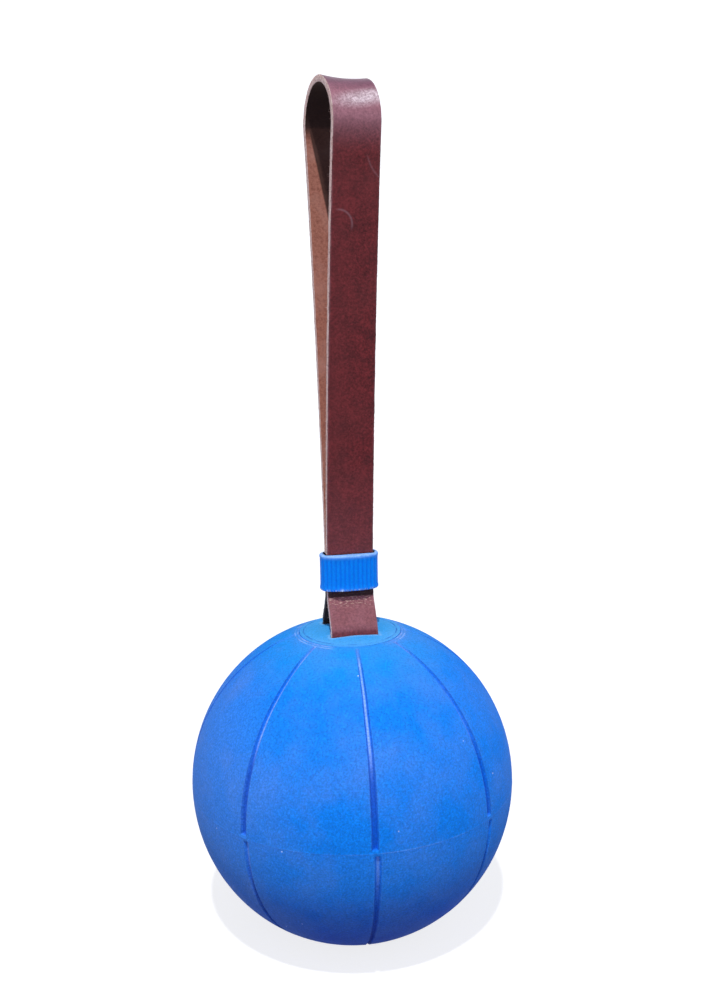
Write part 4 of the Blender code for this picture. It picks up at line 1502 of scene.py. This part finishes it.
@dataclass
class HandStrap:
    """One leather strap, made in seven lengths that meet where each joint holds it still."""

    layout: Layout
    line: StrapLine
    across_steps: int = 20
    along_step: float = 0.9 * MM
    corner: float = 0.45 * MM
    rivet_hole: float = 2.1 * MM
    ragged: float = 0.5 * MM

    def finishes(self) -> list[bpy.types.Material]:
        """Grain side, flesh side and cut edge, in the order of the slots."""
        layout = self.layout
        slider_edge = self.line.along_at(layout.slider_bottom)
        cap_edge = self.line.along_at(layout.cap_top + 0.1 * MM)
        where = (self.line.half_length, slider_edge, cap_edge, layout.strap_width / 2)
        return [side(*where).material() for side in (LeatherGrain, LeatherFlesh, LeatherCutEdge)]

    def flat(self, name: str, begin: float, end: float) -> bpy.types.Object:
        """A flat length of strap: a grid, thickened, with rounded long edges and a slot for each side.

        Args:
            name: the piece's name.
            begin: where it begins along the strap.
            end: where it ends.

        Returns:
            The flat piece, with x across, y along and z through.
        """
        width, thickness = self.layout.strap_width, self.layout.strap_thickness
        item = primitive(
            bpy.ops.mesh.primitive_grid_add,
            name,
            x_subdivisions=self.across_steps,
            y_subdivisions=max(4, round((end - begin) / self.along_step)),
            size=1.0,
            location=(0, (begin + end) / 2, -thickness / 2),
            scale=(width, end - begin, 1),
        )
        points = points_of(item)
        points[:, 0] *= width / np.ptp(points[:, 0])
        points[:, 1] = begin + (points[:, 1] - points[:, 1].min()) * (end - begin) / np.ptp(points[:, 1])
        move_points(item, points)
        edit(item, "FACE")
        bpy.ops.mesh.extrude_region_move(TRANSFORM_OT_translate={"value": (0, 0, thickness)})
        bpy.ops.mesh.select_all(action="SELECT")
        bpy.ops.mesh.normals_make_consistent(inside=False)
        bpy.ops.mesh.select_mode(type="EDGE")
        pick_edges(
            item,
            lambda a, b: min(abs(a.x), abs(b.x)) > width / 2 - TOUCH
            and abs(a.z - b.z) < TOUCH
            and abs(a.y - b.y) > TOUCH,
        )
        bpy.ops.mesh.bevel(offset=self.corner, segments=2, affect="EDGES")
        pick_edges(item, lambda a, b: abs(a.z - b.z) > thickness / 2)
        bpy.ops.mesh.subdivide(number_cuts=2)
        bpy.ops.mesh.select_mode(type="FACE")
        for material in self.finishes():
            item.data.materials.append(material)
        sides = (
            lambda middle, normal: normal.z > 0.8,
            lambda middle, normal: normal.z < -0.8,
            lambda middle, normal: abs(normal.z) <= 0.8,
        )
        for number, side in enumerate(sides):
            pick_faces(item, side)
            item.active_material_index = number
            bpy.ops.object.material_slot_assign()
        leave_edit()
        return item

    def roughen(self, item: bpy.types.Object) -> None:
        """Let the cut edges waver, as a hand-cut edge does."""
        half = self.layout.strap_width / 2
        points = points_of(item)
        share = np.clip((np.abs(points[:, 0]) - half + self.ragged) / self.ragged, 0, 1)
        for row in np.nonzero(share > 0)[0]:
            x, y, z = points[row]
            side = math.copysign(1.0, x)
            slow = noise.noise(Vector((side * 9, y / (9 * MM), 0.0)))
            fast = noise.noise(Vector((side * 5, y / (1.7 * MM), z / (1.6 * MM))))
            points[row, 0] += side * share[row] * (0.10 * slow + 0.12 * fast - 0.08) * MM
        move_points(item, points)

    def rivet_holes(self, item: bpy.types.Object, rear: bool) -> None:
        """Punch the holes for the rivets through a tail.

        Args:
            item: the flat piece.
            rear: whether the tail is at the strap's far end.
        """
        for number in (1, 2):
            low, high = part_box(f"tail_rivet_{number}")
            along = (low.z + high.z) / 2 - self.line.tail_end
            if rear:
                along = 2 * self.line.half_length - along
            punch = primitive(
                bpy.ops.mesh.primitive_cylinder_add,
                "punch",
                vertices=24,
                radius=self.rivet_hole,
                depth=12 * MM,
                location=(0, along, 0),
            )
            cut_out(item, punch)

    def length(self, name: str, begin: float, end: float, seed: int) -> bpy.types.Object:
        """One dressed length of the strap, wrapped round its line.

        Args:
            name: the piece's name.
            begin: where it begins along the strap.
            end: where it ends.
            seed: number that fixes its stray fibres.

        Returns:
            The piece, in place.
        """
        item = self.flat(name, begin, end)
        self.roughen(item)
        if begin < 1 * MM or end > 2 * self.line.half_length - 1 * MM:
            self.rivet_holes(item, begin > 1 * MM)
        edges_from = len(item.data.polygons)
        Frayed().add_to(item, begin, end, seed)
        for polygon in item.data.polygons[edges_from:]:
            polygon.material_index = 2
        flat = points_of(item)
        write_attribute(item, "strap_place", flat)
        move_points(item, self.line.wrap(flat))
        smooth(item, 50)
        return item

    def build(self) -> list[bpy.types.Object]:
        """Make the seven lengths, and hang the crest's length on the loop."""
        layout = self.layout
        whole = 2 * self.line.half_length
        foot_end = self.line.along_at(layout.stem_top - 3 * MM)
        lower_end = self.line.along_at(layout.run_top - 10 * MM)
        crest_height = layout.crest_centre - 6 * MM
        upper_end = self.line.along_at(crest_height)
        made = []
        for side, body, seed in (("front", Body.FRONT_RUN, 10), ("rear", Body.REAR_RUN, 20)):
            spans = [(0.0, foot_end), (foot_end, lower_end), (lower_end, upper_end)]
            if side == "rear":
                spans = [(whole - b, whole - a) for a, b in spans]
            foot = self.length(f"strap_{side}_foot", *spans[0], seed)
            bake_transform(foot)
            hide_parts(f"strap_{side}_tail", f"strap_{side}_stem")
            lower = self.length(f"strap_{side}_lower", *spans[1], seed + 1)
            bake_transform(lower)
            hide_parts(f"strap_{side}_run")
            upper = self.length(f"strap_{side}_upper", *spans[2], seed + 2)
            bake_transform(upper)
            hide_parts("strap_crest")
            made += [foot, lower, upper]
        crest = self.length("strap_crest_bend", upper_end, whole - upper_end, 31)
        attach(crest, Body.LOOP.value)
        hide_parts("strap_crest")
        return [*made, crest]


@dataclass
class Anchor:
    """The steel and copper inside the ball. The CAD nodes stay and get their finishes."""

    steel: tuple[str, ...] = ("anchor_plate", "crossbar")
    copper: tuple[str, ...] = ("tail_rivet_1", "tail_rivet_2", "rivet_burr_1", "rivet_burr_2")

    def dress(self) -> list[bpy.types.Object]:
        """Give each node its metal."""
        made = []
        for names, metal in ((self.steel, ZINC), (self.copper, COPPER)):
            for name in names:
                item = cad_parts[name]
                for place in item.material_slots:
                    place.material = metal.material()
                made.append(item)
        return made


@dataclass
class Studio:
    """Pale floor and backdrop in one sweep, one soft key light in a light tent, and the camera."""

    camera_place: tuple[float, float, float] = (-0.11059, -0.55852, 0.35239)
    camera_turn: tuple[float, float, float] = (78.647, 0.806, -12.190)
    camera_lens: float = 39.89
    key_azimuth: float = math.radians(-14.0)
    key_elevation: float = math.radians(64.0)
    key_strength: float = 2.1
    key_spread: float = math.radians(2.0)
    wall: float = 1.4
    ceiling: float = 0.35
    tent_tint: str = "#E2E8FF"
    paper_seen: Span = (0.36, 0.4)
    paper_unseen: float = 0.1
    paper_glow: float = 0.78
    floor_size: float = 6.0
    backdrop: float = 2.2
    backdrop_height: float = 3.0
    backdrop_curve: float = 0.9

    def seen_directly(self, tree: bpy.types.NodeTree) -> bpy.types.Node:
        """1 for camera, mirror and glass rays, 0 for the light that falls on the object."""
        rays = add_node(tree, "LightPath").outputs
        either = add_node(tree, "Math", rays["Is Camera Ray"], rays["Is Glossy Ray"], operation="MAXIMUM")
        return add_node(tree, "Math", either, rays["Is Transmission Ray"], operation="MAXIMUM")

    def paper(self) -> bpy.types.Material:
        """Matt white paper: bright where the camera sees it, modest in the light that it throws back."""
        make = Mixer("studio paper, matt white")
        fibre = make.add("TexNoise", make.add("TexCoord").outputs["Object"], 400.0, 2.0)
        tone = make.add("MapRange", fibre, 0.0, 1.0, *self.paper_seen)
        seen = self.seen_directly(make.tree)
        diffuse = make.add("BsdfDiffuse", make.add("Mix", seen, self.paper_unseen, tone, data_type="FLOAT"))
        glow = make.add("Math", seen, self.paper_glow, operation="MULTIPLY")
        make.add("OutputMaterial", make.add("AddShader", diffuse, make.add("Emission", Strength=glow)))
        return make.material

    def sweep(self) -> bpy.types.Object:
        """A floor whose far edge rises in a wide curve into the backdrop."""
        item = primitive(
            bpy.ops.mesh.primitive_plane_add,
            "studio_sweep",
            size=self.floor_size,
            location=(0, self.backdrop - self.floor_size / 2, 0),
        )
        edit(item, "EDGE")
        far = self.backdrop - 1 * MM
        pick_edges(item, lambda a, b: min(a.y, b.y) > far)
        bpy.ops.mesh.extrude_region_move(TRANSFORM_OT_translate={"value": (0, 0, self.backdrop_height)})
        pick_edges(item, lambda a, b: min(a.y, b.y) > far and max(a.z, b.z) < 1 * MM)
        bpy.ops.mesh.bevel(offset=self.backdrop_curve, segments=24, affect="EDGES")
        leave_edit()
        smooth(item, 60)
        item.data.materials.append(self.paper())
        return item

    def key(self) -> None:
        """The key light, from above and behind the camera."""
        bpy.ops.object.select_all(action="DESELECT")
        bpy.ops.object.light_add(type="SUN", location=(0, 0, 2))
        light = bpy.context.active_object
        light.name = "key_light"
        level = math.cos(self.key_elevation)
        right, ahead = math.sin(self.key_azimuth) * level, -math.cos(self.key_azimuth) * level
        towards = Vector((right, ahead, math.sin(self.key_elevation)))
        light.rotation_euler = towards.to_track_quat("Z", "Y").to_euler()
        light.data.energy = self.key_strength
        light.data.angle = self.key_spread

    def tent(self) -> None:
        """The sky as a light tent: bright walls and a dimmer ceiling, plain white where it is seen."""
        world = bpy.data.worlds.new("studio_sky")
        bpy.context.scene.world = world
        world.use_nodes = True
        tree = world.node_tree
        tree.nodes.clear()
        seen = self.seen_directly(tree)
        height = add_node(tree, "SeparateXYZ", add_node(tree, "TexCoord").outputs["Generated"]).outputs["Z"]
        tent = add_node(tree, "MapRange", height, 0.0, 0.8, self.wall, self.ceiling, **SOFT)
        level = add_node(tree, "Mix", seen, tent, 1.0, data_type="FLOAT")
        tint = add_node(tree, "Mix", seen, self.tent_tint, "#FFFFFF", data_type="RGBA")
        add_node(tree, "OutputWorld", add_node(tree, "Background", tint, level))

    def camera(self) -> None:
        """The photograph's viewing angle and lens."""
        bpy.ops.object.select_all(action="DESELECT")
        turn = tuple(math.radians(a) for a in self.camera_turn)
        bpy.ops.object.camera_add(location=self.camera_place, rotation=turn)
        camera = bpy.context.active_object
        camera.name = "camera"
        camera.data.lens = self.camera_lens
        camera.data.sensor_width = 36.0
        camera.data.clip_start = 0.01
        bpy.context.scene.camera = camera

    def build(self) -> None:
        """Set the studio up."""
        self.sweep()
        self.key()
        self.tent()
        self.camera()
        bpy.context.scene.view_settings.view_transform = "Standard"


def report(items: list[bpy.types.Object]) -> None:
    """Log each piece's name and face count."""
    for item in items:
        LOG.info("%s: %d faces", item.name, len(item.data.polygons))


def main() -> None:
    """Build every sub-assembly in order, then the studio."""
    logging.basicConfig(level=logging.INFO, format="%(message)s")
    layout = Layout()
    report(RubberBall(layout).build())
    report([CrownCap(layout).build()])
    report([RibbedSlider(layout).build()])
    report(HandStrap(layout, StrapLine(layout)).build())
    report(Anchor().dress())
    Studio().build()


if __name__ == "__main__":
    main()
